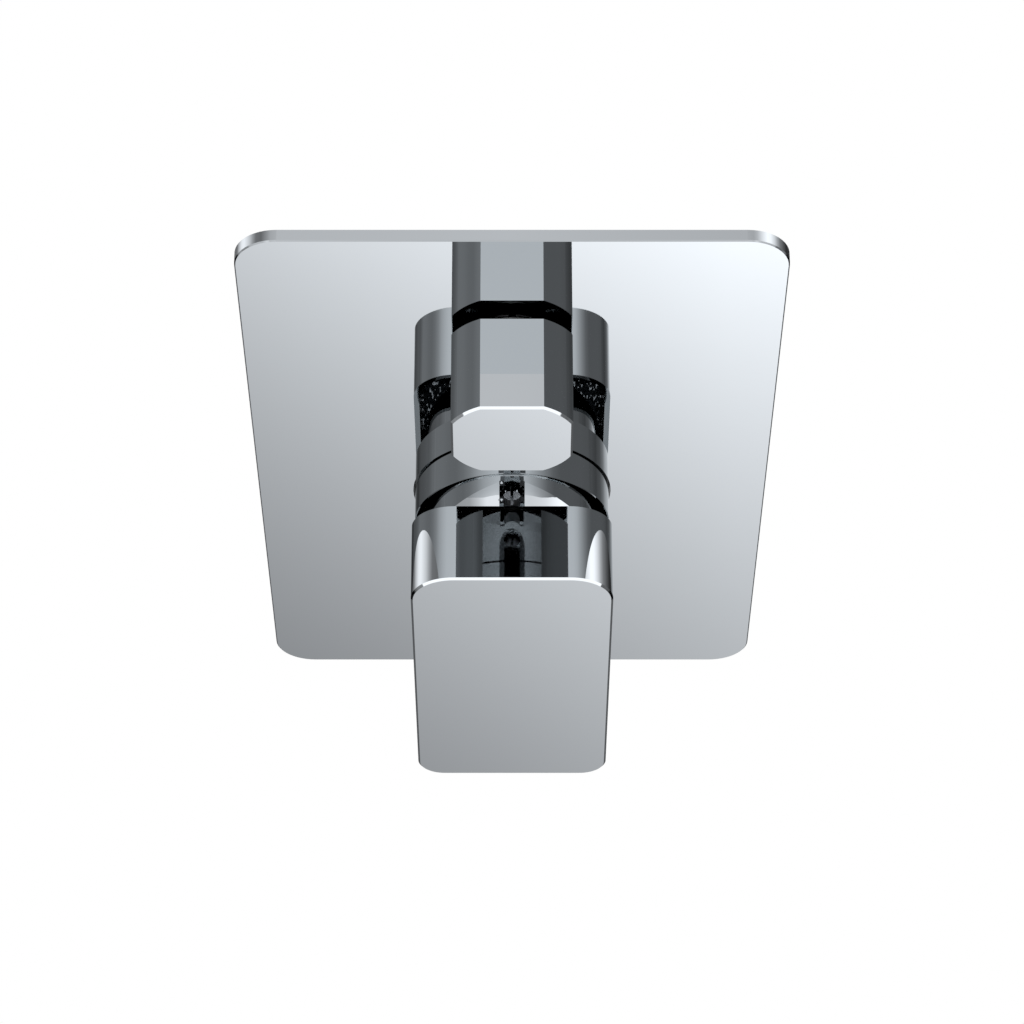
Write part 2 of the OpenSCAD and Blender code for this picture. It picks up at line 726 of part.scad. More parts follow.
module fixing_lugs() {
    at_lugs() bar(lug_r, lug_at, lug_at + lug_t);
    for (row = [lug_row, lug_row - lug_span_z]) body_block([-lug_span_x / 2, lug_span_x / 2],
        [row - lug_arm, row + lug_arm], [lug_at, lug_at + lug_t]);
}

// Bores that take the two valves, and the threaded ports
module body_bores() {
    on_axis(z_lever) {
        bar(foot_r + seat_fit, foot_end, shoulder_at + overrun);
        bar(nut_bore_r, foot_flange_top, shoulder_at + overrun);
        ring_groove(body_neck_r, sleeve_seal_at);
    }
    on_axis(z_knob) bar(diverter_bore_r, seat_at, overrun);
    at_inlets() {
        bar(pipe_r, valve_end, inlet_end + overrun);
        bar(valve_bore_r, valve_start, valve_end + overrun);
        bar(inlet_way_r, inlet_way_r / 2, valve_start + overrun);
    }
    translate([0, inlet_depth, z_knob + shower_rise - pipe_len]) cylinder(r = pipe_r, h = pipe_len + overrun);
    translate([0, bath_depth, z_lever - bath_drop - overrun]) cylinder(r = pipe_r, h = pipe_len + overrun);
}

// Water ways: hot and cold in, mixed up to the diverter, then shower or bath.
// Each one that crosses another is a little narrower than the one before it.
module body_ways() {
    mixed_top = z_knob - mixed_entry;
    crossing_r = way_r * 0.9;
    entry_r = way_r * 0.8;
    mixed_foot = z_lever + port_ring_r - 1.2 * port_r;
    shower_foot = z_knob + diverter_port_ring - 1.2 * diverter_port_r;
    bath_head = z_knob - diverter_port_ring + 1.2 * diverter_port_r;
    bath_end = z_lever - bath_drop + pipe_len - overrun;
    on_axis(z_lever) {
        for (at = [270 - port_angle, 270 + port_angle]) rotate([0, 0, at]) translate([port_ring_r, 0, 0])
            bar(port_r, -inlet_depth - inlet_way_r / 2, foot_end + overrun);
        translate([0, port_ring_r, 0]) bar(port_r, -mixed_depth, foot_end + overrun);
    }
    translate([0, mixed_depth, mixed_foot]) cylinder(r = way_r, h = mixed_top - mixed_foot);
    on_axis(mixed_top) bar(crossing_r, -mixed_depth, turning_disc_at);
    translate([0, crossing_r - turning_disc_at, mixed_top]) cylinder(r = entry_r, h = mixed_entry);
    on_axis(z_knob) {
        translate([0, diverter_port_ring, 0]) bar(diverter_port_r, -inlet_depth, seat_at + overrun);
        translate([0, -diverter_port_ring, 0]) bar(diverter_port_r, -bath_depth, seat_at + overrun);
    }
    translate([0, inlet_depth, shower_foot]) cylinder(r = way_r, h = z_knob + shower_rise - shower_foot);
    translate([0, bath_depth, bath_end]) cylinder(r = way_r, h = bath_head - bath_end);
}

// Round body with four flats, between two places along its axis
module flatted_bar(r, flats, from, to) intersection() {
    bar(r, from, to);
    block([-flats / 2, flats / 2], [-flats / 2, flats / 2], [from, to]);
}

// Knob: a hollow shell with a boss for its insert and a web for its screw
module diverter_knob() color(chrome) on_axis(z_knob) difference() {
    inner_r = knob_r - knob_wall;
    inner_flats = knob_flats - 2 * knob_wall;
    cavity_end = knob_front_at - knob_front_t;
    union() {
        difference() {
            knob_form();
            flatted_bar(inner_r, inner_flats, knob_back_at - overrun, cavity_end);
        }
        bar(boss_r, insert_at, cavity_end + knob_wall);
        for (turn = [0 : 90 : 270]) rotate([0, 0, turn]) block([-knob_web / 2, knob_web / 2],
            [boss_bore_r, knob_flats / 2 - knob_wall / 2], [knob_screw_at - screw_r, cavity_end + knob_wall]);
        block([-screw_web, screw_web], [knob_wall / 2 - knob_flats / 2, -boss_bore_r],
            [knob_screw_at - screw_web, cavity_end + knob_wall]);
    }
    bar(boss_bore_r, insert_at - overrun, stem_end + seat_fit);
    on_knob_screw() bar(screw_r + run_fit, -overrun, knob_flats);
}

// Outside of the knob with its chamfered front edge
module knob_form() {
    rim_at = knob_front_at - knob_edge;
    flatted_bar(knob_r, knob_flats, knob_back_at, rim_at);
    intersection() {
        cone(knob_r, knob_r - knob_edge, rim_at, knob_front_at);
        knob_rim_prism(rim_at);
        rotate([0, 0, 90]) knob_rim_prism(rim_at);
    }
}

// Slab with two slanted sides that trims the knob's front edge
module knob_rim_prism(at) {
    half = knob_flats / 2;
    rotate([90, 0, 0]) translate([0, at, -knob_r]) linear_extrude(2 * knob_r)
        polygon([[-half, 0], [half, 0], [half - knob_edge, knob_edge], [knob_edge - half, knob_edge]]);
}

// Lines the children up with the knob's screw, which points down
module on_knob_screw() {
    translate([0, -stem_r, knob_screw_at]) rotate([90, 0, 0]) children();
}

module knob_insert() color(plastic) on_axis(z_knob) difference() {
    bar(insert_r, insert_at, stem_end);
    stem_section(stem_r + run_fit, stem_flat + run_fit, insert_at - overrun, stem_end + overrun);
    on_knob_screw() bar(screw_r + run_fit, -overrun, insert_r);
}

// Round stem with one flat on its upper side
module stem_section(r, flat, from, to) intersection() {
    bar(r, from, to);
    block([-r, r], [-r, flat], [from, to]);
}

module knob_set_screw() color(steel) on_axis(z_knob)
    on_knob_screw() translate([0, 0, run_fit]) grub_screw(knob_screw_len);

module diverter_stem() color(brass) on_axis(z_knob) difference() {
    union() {
        bar(stem_r, stem_foot_at, insert_at);
        stem_section(stem_r, stem_flat, insert_at, stem_end);
        bar(stem_foot_r, stem_foot_at, stem_foot_at + stem_foot_t);
    }
    for (at = stem_seal_places) ring_groove(stem_r, at, stem_cord);
    tube(stem_r + overrun, stem_r - clip_groove, clip_at, clip_at + clip_t);
}
stem_seal_places = [hex_at, hex_at + 4 * stem_cord + clip_t];

module stem_seals() color(rubber) on_axis(z_knob)
    for (at = stem_seal_places) o_ring(stem_r - stem_cord, at, stem_cord);

// Open spring clip that keeps the stem in the bonnet
module stem_clip() color(steel) on_axis(z_knob) difference() {
    tube(clip_r, stem_r - clip_groove + run_fit, clip_at, clip_at + clip_t);
    block([-clip_t, clip_t], [-clip_r - overrun, 0], [bonnet_front, insert_at]);
}

// Bonnet that holds the diverter's stem and discs in the body
module diverter_bonnet() color(brass) on_axis(z_knob) difference() {
    union() {
        bar(bonnet_r, hex_at, bonnet_front);
        translate([0, 0, hex_at]) cylinder(r = hex_r, h = hex_t, $fn = 6);
        bar(bonnet_thread_r, stem_foot_at, hex_at);
        bar(skirt_r, seat_at + free_gap, stem_foot_at);
    }
    bar(stem_r + run_fit, seat_at, bonnet_front + overrun);
    bar(stem_foot_r + free_gap, stem_foot_at, stem_foot_at + stem_foot_t + seat_fit);
    bar(diverter_disc_r + seat_fit, seat_at, stem_foot_at + run_fit);
    ring_groove(bonnet_thread_r, bonnet_seal_at);
    block([-window_half, window_half], [-skirt_r - overrun, skirt_r + overrun],
        [turning_disc_at, stem_foot_at - stem_cord]);
}
bonnet_seal_at = hex_at - 3 * cord_r;

module bonnet_seal() color(rubber) on_axis(z_knob) o_ring(bonnet_thread_r - cord_r, bonnet_seal_at);

// Disc that turns with the stem and opens one port or the other
module diverter_turning_disc() color(ceramic) on_axis(z_knob) difference() {
    bar(diverter_disc_r, turning_disc_at, stem_foot_at);
    translate([0, -diverter_disc_r, 0]) bar(window_half, turning_disc_at - overrun, stem_foot_at + overrun);
}

// Water ways to the shower and to the bath
module diverter_ports(from, to) {
    for (side = [-1, 1]) translate([0, side * diverter_port_ring, 0]) bar(diverter_port_r, from, to);
}

module diverter_seat_disc() color(ceramic) on_axis(z_knob) difference() {
    bar(diverter_disc_r, seat_disc_at, turning_disc_at);
    diverter_ports(seat_disc_at - overrun, turning_disc_at + overrun);
}

module diverter_lip_seal() color(rubber) on_axis(z_knob) difference() {
    bar(diverter_disc_r, seat_at, seat_disc_at);
    diverter_ports(seat_at - overrun, seat_disc_at + overrun);
}

// Thin nut on the bonnet that holds the plate to the wall, under the knob
module plate_lock_nut() color(brass) on_axis(z_knob) difference() {
    tube(lock_nut_r, bonnet_r + run_fit, plate_t, plate_t + lock_nut_t);
    slot = [plate_t + lock_nut_t / 2, plate_t + lock_nut_t + overrun];
    for (turn = [0, 90]) rotate([0, 0, turn])
        block([-clip_t, clip_t], [-lock_nut_r - overrun, lock_nut_r + overrun], slot);
}

// Puts the children on the inlets' axis, once for each side, z outwards
module at_inlets() {
    for (side = [0, 180]) translate([0, inlet_depth, z_lever]) rotate([0, 90, side]) children();
}

// Check valves: a sleeve with a seat, a guide cross and a closing cone
module inlet_check_valves() color(plastic) at_inlets() {
    r = valve_bore_r - seat_fit;
    wall = r - inlet_way_r - way_r / 2;
    end = valve_start + valve_len;
    tube(r, r - wall, valve_start, end);
    cone(r - 2 * wall, wall, valve_start + wall, end - wall);
    for (turn = [0, 90]) rotate([0, 0, turn])
        block([-wall / 2, wall / 2], [wall / 2 - r, r - wall / 2],
            [valve_start + wall, valve_start + 2 * wall]);
}

// Strainers: perforated discs with a rim, in front of the check valves
module inlet_strainers() color(steel) at_inlets() difference() {
    r = valve_bore_r - seat_fit;
    bar(r, valve_end - strainer_len, valve_end);
    bar(r - cord_r, valve_end - strainer_len + cord_r, valve_end + overrun);
    for (ring = [0 : 2], at = [0 : max(ring * 6 - 1, 0)])
        rotate([0, 0, at * 360 / max(ring * 6, 1)]) translate([ring * strainer_pitch, 0, 0])
        bar(strainer_hole_r, valve_end - strainer_len - overrun, valve_end + overrun);
}
strainer_pitch = 2.5;
strainer_hole_r = 0.8;

wall_plate();
plate_gasket();
barrel_sleeve();
sleeve_seal();
lever_handle();
handle_set_screw();
cartridge_spindle();
spindle_pin();
cartridge_rotor();
hot_limit_ring();
cartridge_housing();
disc_carrier();
moving_disc();
fixed_disc();
disc_gasket();
cartridge_foot();
foot_seals();
cartridge_nut();
valve_body();
diverter_knob();
knob_insert();
knob_set_screw();
diverter_stem();
stem_seals();
stem_clip();
diverter_bonnet();
bonnet_seal();
diverter_turning_disc();
diverter_seat_disc();
diverter_lip_seal();
plate_lock_nut();
inlet_check_valves();
inlet_strainers();
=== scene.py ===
"""Looks of a concealed bath and shower mixer: wall plate, lever, knob and the body in the wall.

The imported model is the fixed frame. This script gives each of its nodes a finish,
adds the pieces that the solids leave plain, and sets up the studio and the camera.
"""

import logging
import math
from dataclasses import dataclass, field, replace
from enum import Enum

import bmesh
import bpy
from mathutils import Matrix, Vector


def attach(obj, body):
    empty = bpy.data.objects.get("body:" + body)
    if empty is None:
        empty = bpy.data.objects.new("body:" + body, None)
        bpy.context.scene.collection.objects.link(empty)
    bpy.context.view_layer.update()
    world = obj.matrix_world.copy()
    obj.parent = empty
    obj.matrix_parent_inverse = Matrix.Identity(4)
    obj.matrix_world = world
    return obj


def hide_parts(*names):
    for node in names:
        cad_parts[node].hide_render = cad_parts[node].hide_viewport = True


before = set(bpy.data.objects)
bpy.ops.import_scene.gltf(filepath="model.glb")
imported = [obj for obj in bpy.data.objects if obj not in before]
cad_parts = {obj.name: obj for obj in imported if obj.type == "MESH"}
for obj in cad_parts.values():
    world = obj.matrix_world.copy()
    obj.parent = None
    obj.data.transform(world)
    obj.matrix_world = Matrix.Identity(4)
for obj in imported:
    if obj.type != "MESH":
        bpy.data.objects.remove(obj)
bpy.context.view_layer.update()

LOG = logging.getLogger("mixer")
MM = 0.001
Pair = tuple[float, float]
Triple = tuple[float, float, float]
Table = tuple[Pair, ...]
WHITE: Triple = (1.0, 1.0, 1.0)
COLOUR_BLEND: Pair = (0.35, 0.65)
GLOSS_BLEND: Pair = (0.3, 0.7)
SHARP_EDGE = math.radians(35)


class Axis(Enum):
    """Direction of a bore, or of the axis about which a turned piece was spun."""

    ACROSS = 0
    INTO_WALL = 1
    UP = 2


class Port(Enum):
    """A pipe port of the body: the place of its mouth in millimetres and the way it faces."""

    HOT_INLET = ((-52.0, 37.0, -34.0), (-1.0, 0.0, 0.0))
    COLD_INLET = ((52.0, 37.0, -34.0), (1.0, 0.0, 0.0))
    SHOWER_OUTLET = ((0.0, 37.0, 71.0), (0.0, 0.0, 1.0))
    BATH_OUTLET = ((0.0, 52.0, -86.0), (0.0, 0.0, -1.0))

    @property
    def mouth(self) -> Vector:
        """Middle of the mouth in metres."""
        return Vector(self.value[0]) * MM

    @property
    def outward(self) -> Vector:
        """Unit vector out of the port."""
        return Vector(self.value[1])


class Graph:
    """A node tree under construction, with short calls for the nodes that the finishes share."""

    def __init__(self, tree: bpy.types.NodeTree) -> None:
        """Takes the tree that the calls add to.

        Args:
            tree: an empty or filled node tree.
        """
        self.tree = tree

    def add(self, kind: str, **settings: object) -> bpy.types.Node:
        """Adds a node and sets its properties.

        Args:
            kind: Blender's name of the node type.
            **settings: properties of the node.

        Returns:
            The new node.
        """
        node = self.tree.nodes.new(kind)
        for name, value in settings.items():
            setattr(node, name, value)
        return node

    def feed(self, socket: bpy.types.NodeSocket, value: object) -> None:
        """Links a socket to an output, or sets its own value.

        Args:
            socket: the input.
            value: an output socket, a number or a tuple.
        """
        if isinstance(value, bpy.types.NodeSocket):
            self.tree.links.new(value, socket)
        elif isinstance(value, tuple) and socket.type == "RGBA":
            socket.default_value = (*value, 1.0)
        else:
            socket.default_value = value

    def math(self, operation: str, *values: object) -> bpy.types.NodeSocket:
        """Adds a Math node.

        Args:
            operation: Blender's name of the operation.
            *values: one to three outputs or numbers.

        Returns:
            The node's output.
        """
        node = self.add("ShaderNodeMath", operation=operation)
        for socket, value in zip(node.inputs, values):
            self.feed(socket, value)
        return node.outputs[0]

    def ramp(self, value: object, low: float, high: float,
             to_low: float = 0.0, to_high: float = 1.0) -> bpy.types.NodeSocket:
        """Maps a value from one range to another, clamped and eased at both ends.

        Args:
            value: the output to map.
            low: start of the range.
            high: end of the range.
            to_low: result at low.
            to_high: result at high.

        Returns:
            The node's output.
        """
        node = self.add("ShaderNodeMapRange", interpolation_type="SMOOTHSTEP")
        for socket, given in zip(node.inputs, (value, low, high, to_low, to_high)):
            self.feed(socket, given)
        return node.outputs[0]

    def strip(self, value: bpy.types.NodeSocket, table: Table) -> bpy.types.NodeSocket:
        """Reads a table of places and values along a line, straight between its rows.

        Args:
            value: the place on the line.
            table: rows of place and value, in order.

        Returns:
            The value at that place.
        """
        first, last = table[0][0], table[-1][0]
        low, high = min(row[1] for row in table), max(row[1] for row in table)
        node = self.add("ShaderNodeValToRGB")
        stops = node.color_ramp.elements
        while len(stops) < len(table):
            stops.new(0.5)
        for stop, (at, level) in zip(stops, table):
            share = (level - low) / (high - low)
            stop.position = (at - first) / (last - first)
            stop.color = (share, share, share, 1.0)
        place = self.math("DIVIDE", self.math("SUBTRACT", value, first), last - first)
        self.feed(node.inputs[0], place)
        return self.math("MULTIPLY_ADD", node.outputs[0], high - low, low)

    def mix(self, share: object, first: object, second: object) -> bpy.types.NodeSocket:
        """Mixes two colours.

        Args:
            share: how much of the second one shows.
            first: an output or a colour.
            second: an output or a colour.

        Returns:
            The mixed colour.
        """
        node = self.add("ShaderNodeMix", data_type="RGBA")
        sockets = (node.inputs[0], node.inputs[6], node.inputs[7])
        for socket, value in zip(sockets, (share, first, second)):
            self.feed(socket, value)
        return node.outputs[2]

    def place(self, scale: Triple = (1.0, 1.0, 1.0),
              shift: Triple = (0.0, 0.0, 0.0)) -> bpy.types.NodeSocket:
        """Gives the object's own coordinates, scaled and shifted.

        Args:
            scale: factor along each axis.
            shift: offset in metres.

        Returns:
            The coordinates.
        """
        source = self.add("ShaderNodeTexCoord").outputs["Object"]
        node = self.add("ShaderNodeMapping")
        given = {"Vector": source, "Location": shift, "Scale": scale}
        for name, value in given.items():
            self.feed(node.inputs[name], value)
        return node.outputs[0]

    def split(self, where: bpy.types.NodeSocket) -> tuple[bpy.types.NodeSocket, ...]:
        """Takes coordinates apart.

        Args:
            where: the coordinates.

        Returns:
            The three numbers.
        """
        node = self.add("ShaderNodeSeparateXYZ")
        self.feed(node.inputs[0], where)
        return tuple(node.outputs)

    def noise(self, where: bpy.types.NodeSocket, per_metre: float,
              detail: float = 3.0) -> bpy.types.NodeSocket:
        """Adds a noise pattern.

        Args:
            where: the coordinates.
            per_metre: how many patches fit in a metre.
            detail: number of finer layers.

        Returns:
            The noise, about 0 to 1.
        """
        node = self.add("ShaderNodeTexNoise")
        for name, value in (("Vector", where), ("Scale", per_metre), ("Detail", detail)):
            self.feed(node.inputs[name], value)
        return node.outputs[0]

    def bump(self, height: object, depth: object) -> bpy.types.NodeSocket:
        """Turns a height pattern into a normal.

        Args:
            height: the pattern, 0 to 1.
            depth: height of the pattern in metres.

        Returns:
            The normal.
        """
        node = self.add("ShaderNodeBump")
        self.feed(node.inputs["Height"], height)
        self.feed(node.inputs["Distance"], depth)
        return node.outputs[0]

    def tinted(self, level: bpy.types.NodeSocket, tint: Triple) -> bpy.types.NodeSocket:
        """Makes a tinted grey.

        Args:
            level: its brightness.
            tint: factor of each colour.

        Returns:
            The colour.
        """
        node = self.add("ShaderNodeCombineColor")
        for socket, factor in zip(node.inputs, tint):
            self.feed(socket, self.math("MULTIPLY", level, factor))
        return node.outputs[0]


@dataclass(frozen=True)
class Hollow:
    """A hollow or a cut end of a casting: a box in millimetres.

    Seen from the front its corners are round, with one radius above and one below.
    """

    low: Triple
    high: Triple
    upper: float = 0.1
    lower: float = 0.1

    def share(self, graph: Graph) -> bpy.types.NodeSocket:
        """Gives 1 in the hollow and 0 outside.

        Args:
            graph: the material's nodes.

        Returns:
            The mask.
        """
        axes = graph.split(graph.place())
        middle = [(low + high) / 2 * MM for low, high in zip(self.low, self.high)]
        half = [(high - low) / 2 * MM for low, high in zip(self.low, self.high)]
        off = [graph.math("ABSOLUTE", graph.math("SUBTRACT", axes[i], middle[i])) for i in range(3)]
        above = graph.math("GREATER_THAN", axes[2], middle[2])
        corner = graph.math("MULTIPLY_ADD", above, (self.upper - self.lower) * MM, self.lower * MM)
        beyond = []
        for i in (0, 2):
            past = graph.math("ADD", graph.math("SUBTRACT", off[i], half[i]), corner)
            beyond.append(graph.math("POWER", graph.math("MAXIMUM", past, 0.0), 2.0))
        reach = graph.math("SQRT", graph.math("ADD", *beyond))
        within = graph.math("LESS_THAN", reach, corner)
        return graph.math("MULTIPLY", within, graph.math("LESS_THAN", off[1], half[1]))


@dataclass(frozen=True)
class Bore:
    """A machined bore in millimetres: its axis, a point on it, its radius and its ends.

    The ends are measured along the axis from that point.
    """

    axis: Axis
    centre: Triple
    radius: float
    low: float
    high: float

    def share(self, graph: Graph) -> bpy.types.NodeSocket:
        """Gives 1 in the bore and 0 outside.

        Args:
            graph: the material's nodes.

        Returns:
            The mask.
        """
        axes = list(graph.split(graph.place(shift=tuple(-value * MM for value in self.centre))))
        along = axes.pop(self.axis.value)
        squares = [graph.math("MULTIPLY", part, part) for part in axes]
        within = graph.math("LESS_THAN", graph.math("ADD", *squares), (self.radius * MM) ** 2)
        past = graph.math("GREATER_THAN", along, self.low * MM)
        short = graph.math("LESS_THAN", along, self.high * MM)
        return graph.math("MULTIPLY", within, graph.math("MULTIPLY", past, short))


def covered(graph: Graph, shapes: tuple[Hollow | Bore, ...]) -> object:
    """Gives 1 inside any of the shapes and 0 outside all of them.

    Args:
        graph: the material's nodes.
        shapes: the hollows and bores.

    Returns:
        The mask.
    """
    share: object = 0.0
    for shape in shapes:
        share = graph.math("MAXIMUM", share, shape.share(graph))
    return share


@dataclass(frozen=True)
class Finish:
    """A plain surface: two close colours in patches, its roughness and a fine relief.

    Patches and grain count per metre, and the relief's height is in metres.
    """

    name: str
    colour: Triple
    shade: Triple
    metallic: float
    gloss_from: float
    gloss_to: float
    patches: float
    relief: float
    grain: float

    def material(self) -> bpy.types.Material:
        """Builds the finish once and returns it, or returns the one already built."""
        made = bpy.data.materials.get(self.name)
        if made:
            return made
        made = bpy.data.materials.new(self.name)
        made.use_nodes = True
        shader = made.node_tree.nodes["Principled BSDF"]
        shader.inputs["Metallic"].default_value = self.metallic
        self.dress(Graph(made.node_tree), shader)
        return made

    def dress(self, graph: Graph, shader: bpy.types.Node) -> None:
        """Links colour, roughness and relief to the shader.

        Args:
            graph: the material's nodes.
            shader: its Principled BSDF.
        """
        where = graph.place()
        patch = graph.noise(where, self.patches)
        fine = graph.noise(where, self.grain, detail=2.0)
        graph.feed(shader.inputs["Base Color"], self.tone(graph, patch))
        graph.feed(shader.inputs["Roughness"], self.rough(graph, patch))
        graph.feed(shader.inputs["Normal"], graph.bump(fine, self.relief))

    def tone(self, graph: Graph, pattern: bpy.types.NodeSocket) -> bpy.types.NodeSocket:
        """Gives the two colours in the patches of a pattern."""
        return graph.mix(graph.ramp(pattern, *COLOUR_BLEND), self.colour, self.shade)

    def rough(self, graph: Graph, pattern: bpy.types.NodeSocket) -> bpy.types.NodeSocket:
        """Gives the roughness in the patches of a pattern."""
        return graph.ramp(pattern, *GLOSS_BLEND, self.gloss_from, self.gloss_to)


@dataclass(frozen=True)
class Turned(Finish):
    """A surface off the lathe, with fine grooves round its axis, counted by its grain."""

    axis: Axis = Axis.INTO_WALL
    centre: Triple = (0.0, 0.0, 0.0)

    def dress(self, graph: Graph, shader: bpy.types.Node) -> None:
        """Links colour, roughness and grooves to the shader.

        Args:
            graph: the material's nodes.
            shader: its Principled BSDF.
        """
        shift = tuple(-value * MM for value in self.centre)
        where = graph.place(shift=shift)
        axes = list(graph.split(where))
        along = axes.pop(self.axis.value)
        squares = [graph.math("MULTIPLY", part, part) for part in axes]
        radius = graph.math("SQRT", graph.math("ADD", *squares))
        line = graph.add("ShaderNodeTexNoise", noise_dimensions="1D")
        graph.feed(line.inputs["W"], graph.math("ADD", along, radius))
        graph.feed(line.inputs["Scale"], self.grain)
        graph.feed(line.inputs["Detail"], 2.0)
        patch = graph.noise(where, self.patches)
        graph.feed(shader.inputs["Base Color"], self.tone(graph, patch))
        halves = [graph.math("MULTIPLY", part, 0.5) for part in (patch, line.outputs[0])]
        haze = graph.math("ADD", *halves)
        graph.feed(shader.inputs["Roughness"], self.rough(graph, haze))
        graph.feed(shader.inputs["Normal"], graph.bump(line.outputs[0], self.relief))


@dataclass(frozen=True)
class Cast(Finish):
    """Sand-cast metal with a pitted skin, cut bright and smooth at its machined mouths."""

    pit_share: float = 0.35
    pit_blend: Pair = (0.28, 0.42)
    bright: Triple = (0.80, 0.60, 0.28)
    cut_gloss: float = 0.16
    cut_relief: float = 0.05
    cuts: tuple[Hollow | Bore, ...] = ()

    def dress(self, graph: Graph, shader: bpy.types.Node) -> None:
        """Links the skin's colour, roughness and pits, and the machined faces.

        Args:
            graph: the material's nodes.
            shader: its Principled BSDF.
        """
        where = graph.place()
        patch = graph.noise(where, self.patches, detail=4.0)
        sand = graph.noise(where, self.grain, detail=2.0)
        spots = graph.noise(where, self.grain * self.pit_share, detail=1.0)
        skin = graph.math("MULTIPLY", sand, graph.ramp(spots, *self.pit_blend))
        rough = self.rough(graph, patch)
        cut = covered(graph, self.cuts)
        less = (self.cut_relief - 1.0) * self.relief
        depth = graph.math("MULTIPLY_ADD", cut, less, self.relief)
        tarnish = self.tone(graph, patch)
        graph.feed(shader.inputs["Base Color"], graph.mix(cut, tarnish, self.bright))
        smooth = graph.math("MULTIPLY", cut, graph.math("SUBTRACT", self.cut_gloss, rough))
        graph.feed(shader.inputs["Roughness"], graph.math("ADD", rough, smooth))
        graph.feed(shader.inputs["Normal"], graph.bump(skin, depth))


@dataclass(frozen=True)
class Chrome(Finish):
    """Polished chrome plate: a faintly wavy mirror, with dark casting skin in its hollows under
    painted shade and painted glints.
    """

    haze_blend: Pair = (0.35, 0.75)
    haze_stretch: Triple = (1.0, 1.0, 0.25)
    # Colour of the hollows: dark casting skin, made near black as painted shade
    skin: Triple = (0.03, 0.031, 0.032)
    skin_gloss: float = 0.11
    skin_relief: float = 0.00005
    skin_grain: float = 1600.0
    skin_stretch: Triple = (1.0, 0.7, 0.28)
    # Painted glints: light streaks in the hollows that stand for reflections
    painted_glint: Triple = (0.68, 0.70, 0.72)
    glint_blend: Pair = (0.6, 0.66)
    glint_stretch: Triple = (1.0, 0.6, 0.3)
    glint_shift: Triple = (0.31, 0.17, 0.05)
    # Boxes where the painted shade and painted glints go
    hollows: tuple[Hollow, ...] = ()

    def dress(self, graph: Graph, shader: bpy.types.Node) -> None:
        """Links the mirror's colour, haze and waviness, and the skin of its hollows with its
        painted shade and painted glints.

        Args:
            graph: the material's nodes.
            shader: its Principled BSDF.
        """
        haze = graph.noise(graph.place(scale=self.haze_stretch), self.patches, detail=4.0)
        height = graph.noise(graph.place(), self.grain, detail=1.0)
        depth: object = self.relief
        rough = graph.ramp(haze, *self.haze_blend, self.gloss_from, self.gloss_to)
        tint = graph.mix(haze, self.colour, self.shade)
        if self.hollows:
            inside = covered(graph, self.hollows)
            cast = graph.noise(graph.place(scale=self.skin_stretch), self.skin_grain, detail=1.0)
            rise = graph.math("SUBTRACT", cast, height)
            height = graph.math("ADD", height, graph.math("MULTIPLY", inside, rise))
            more = self.skin_relief - self.relief
            depth = graph.math("MULTIPLY_ADD", inside, more, self.relief)
            rough = graph.math("MULTIPLY_ADD", inside, self.skin_gloss, rough)
            # Painted shade and painted glints in the hollows' colour
            tint = graph.mix(inside, tint, self.painted_shade_and_glints(graph))
            # Painted shade: the metal's edge tint in the hollows is as dark as the skin
            shaded_edge_tint = graph.mix(inside, WHITE, self.skin)
            graph.feed(shader.inputs["Specular Tint"], shaded_edge_tint)
        graph.feed(shader.inputs["Base Color"], tint)
        graph.feed(shader.inputs["Roughness"], rough)
        graph.feed(shader.inputs["Normal"], graph.bump(height, depth))

    def painted_shade_and_glints(self, graph: Graph) -> bpy.types.NodeSocket:
        """Gives the colour in the hollows: dark skin deepened as painted shade, with small painted
        glints in streaks.

        Args:
            graph: the material's nodes.

        Returns:
            The colour.
        """
        where = graph.place(scale=self.glint_stretch, shift=self.glint_shift)
        streaks = graph.noise(where, self.skin_grain, detail=1.0)
        return graph.mix(graph.ramp(streaks, *self.glint_blend), self.skin, self.painted_glint)


# The axes of lever and knob, and the machined places of the body, in millimetres
MIXER_AXIS: Triple = (0.0, 0.0, -34.0)
DIVERTER_AXIS: Triple = (0.0, 0.0, 34.0)
BORE_CUT = 10.9
BODY_CUTS = (
    Bore(Axis.ACROSS, (0.0, 37.0, -34.0), BORE_CUT, -60.0, -30.0),
    Bore(Axis.ACROSS, (0.0, 37.0, -34.0), BORE_CUT, 30.0, 60.0),
    Bore(Axis.UP, (0.0, 37.0, 0.0), BORE_CUT, 50.0, 80.0),
    Bore(Axis.UP, (0.0, 52.0, 0.0), BORE_CUT, -90.0, -64.0),
    Hollow((-60.0, 20.0, -54.0), (-51.7, 54.0, -14.0)),
    Hollow((51.7, 20.0, -54.0), (60.0, 54.0, -14.0)),
    Hollow((-20.0, 20.0, 70.7), (20.0, 54.0, 80.0)),
    Hollow((-20.0, 34.0, -90.0), (20.0, 70.0, -85.7)),
    Hollow((-24.2, -20.0, -58.2), (24.2, 12.0, -9.8), upper=24.2, lower=24.2),
)

# What the pieces are made of; the chrome's hollows carry painted shade and painted glints
CHROME = Chrome(
    name="polished_chrome", colour=(0.534, 0.554, 0.564), shade=(0.526, 0.546, 0.557),
    metallic=1.0, gloss_from=0.012, gloss_to=0.03, patches=26.0, relief=0.000003, grain=55.0)
# The lever's hollow back and the small notch at its set screw get painted shade and painted glints
LEVER_CHROME = replace(CHROME, name="lever_chrome", hollows=(
    Hollow((-23.2, -39.9, -112.9), (23.2, -21.75, -10.6), upper=9.1, lower=5.5),
    Hollow((-3.06, -17.1, -18.4), (3.06, -12.0, -13.4)),
))
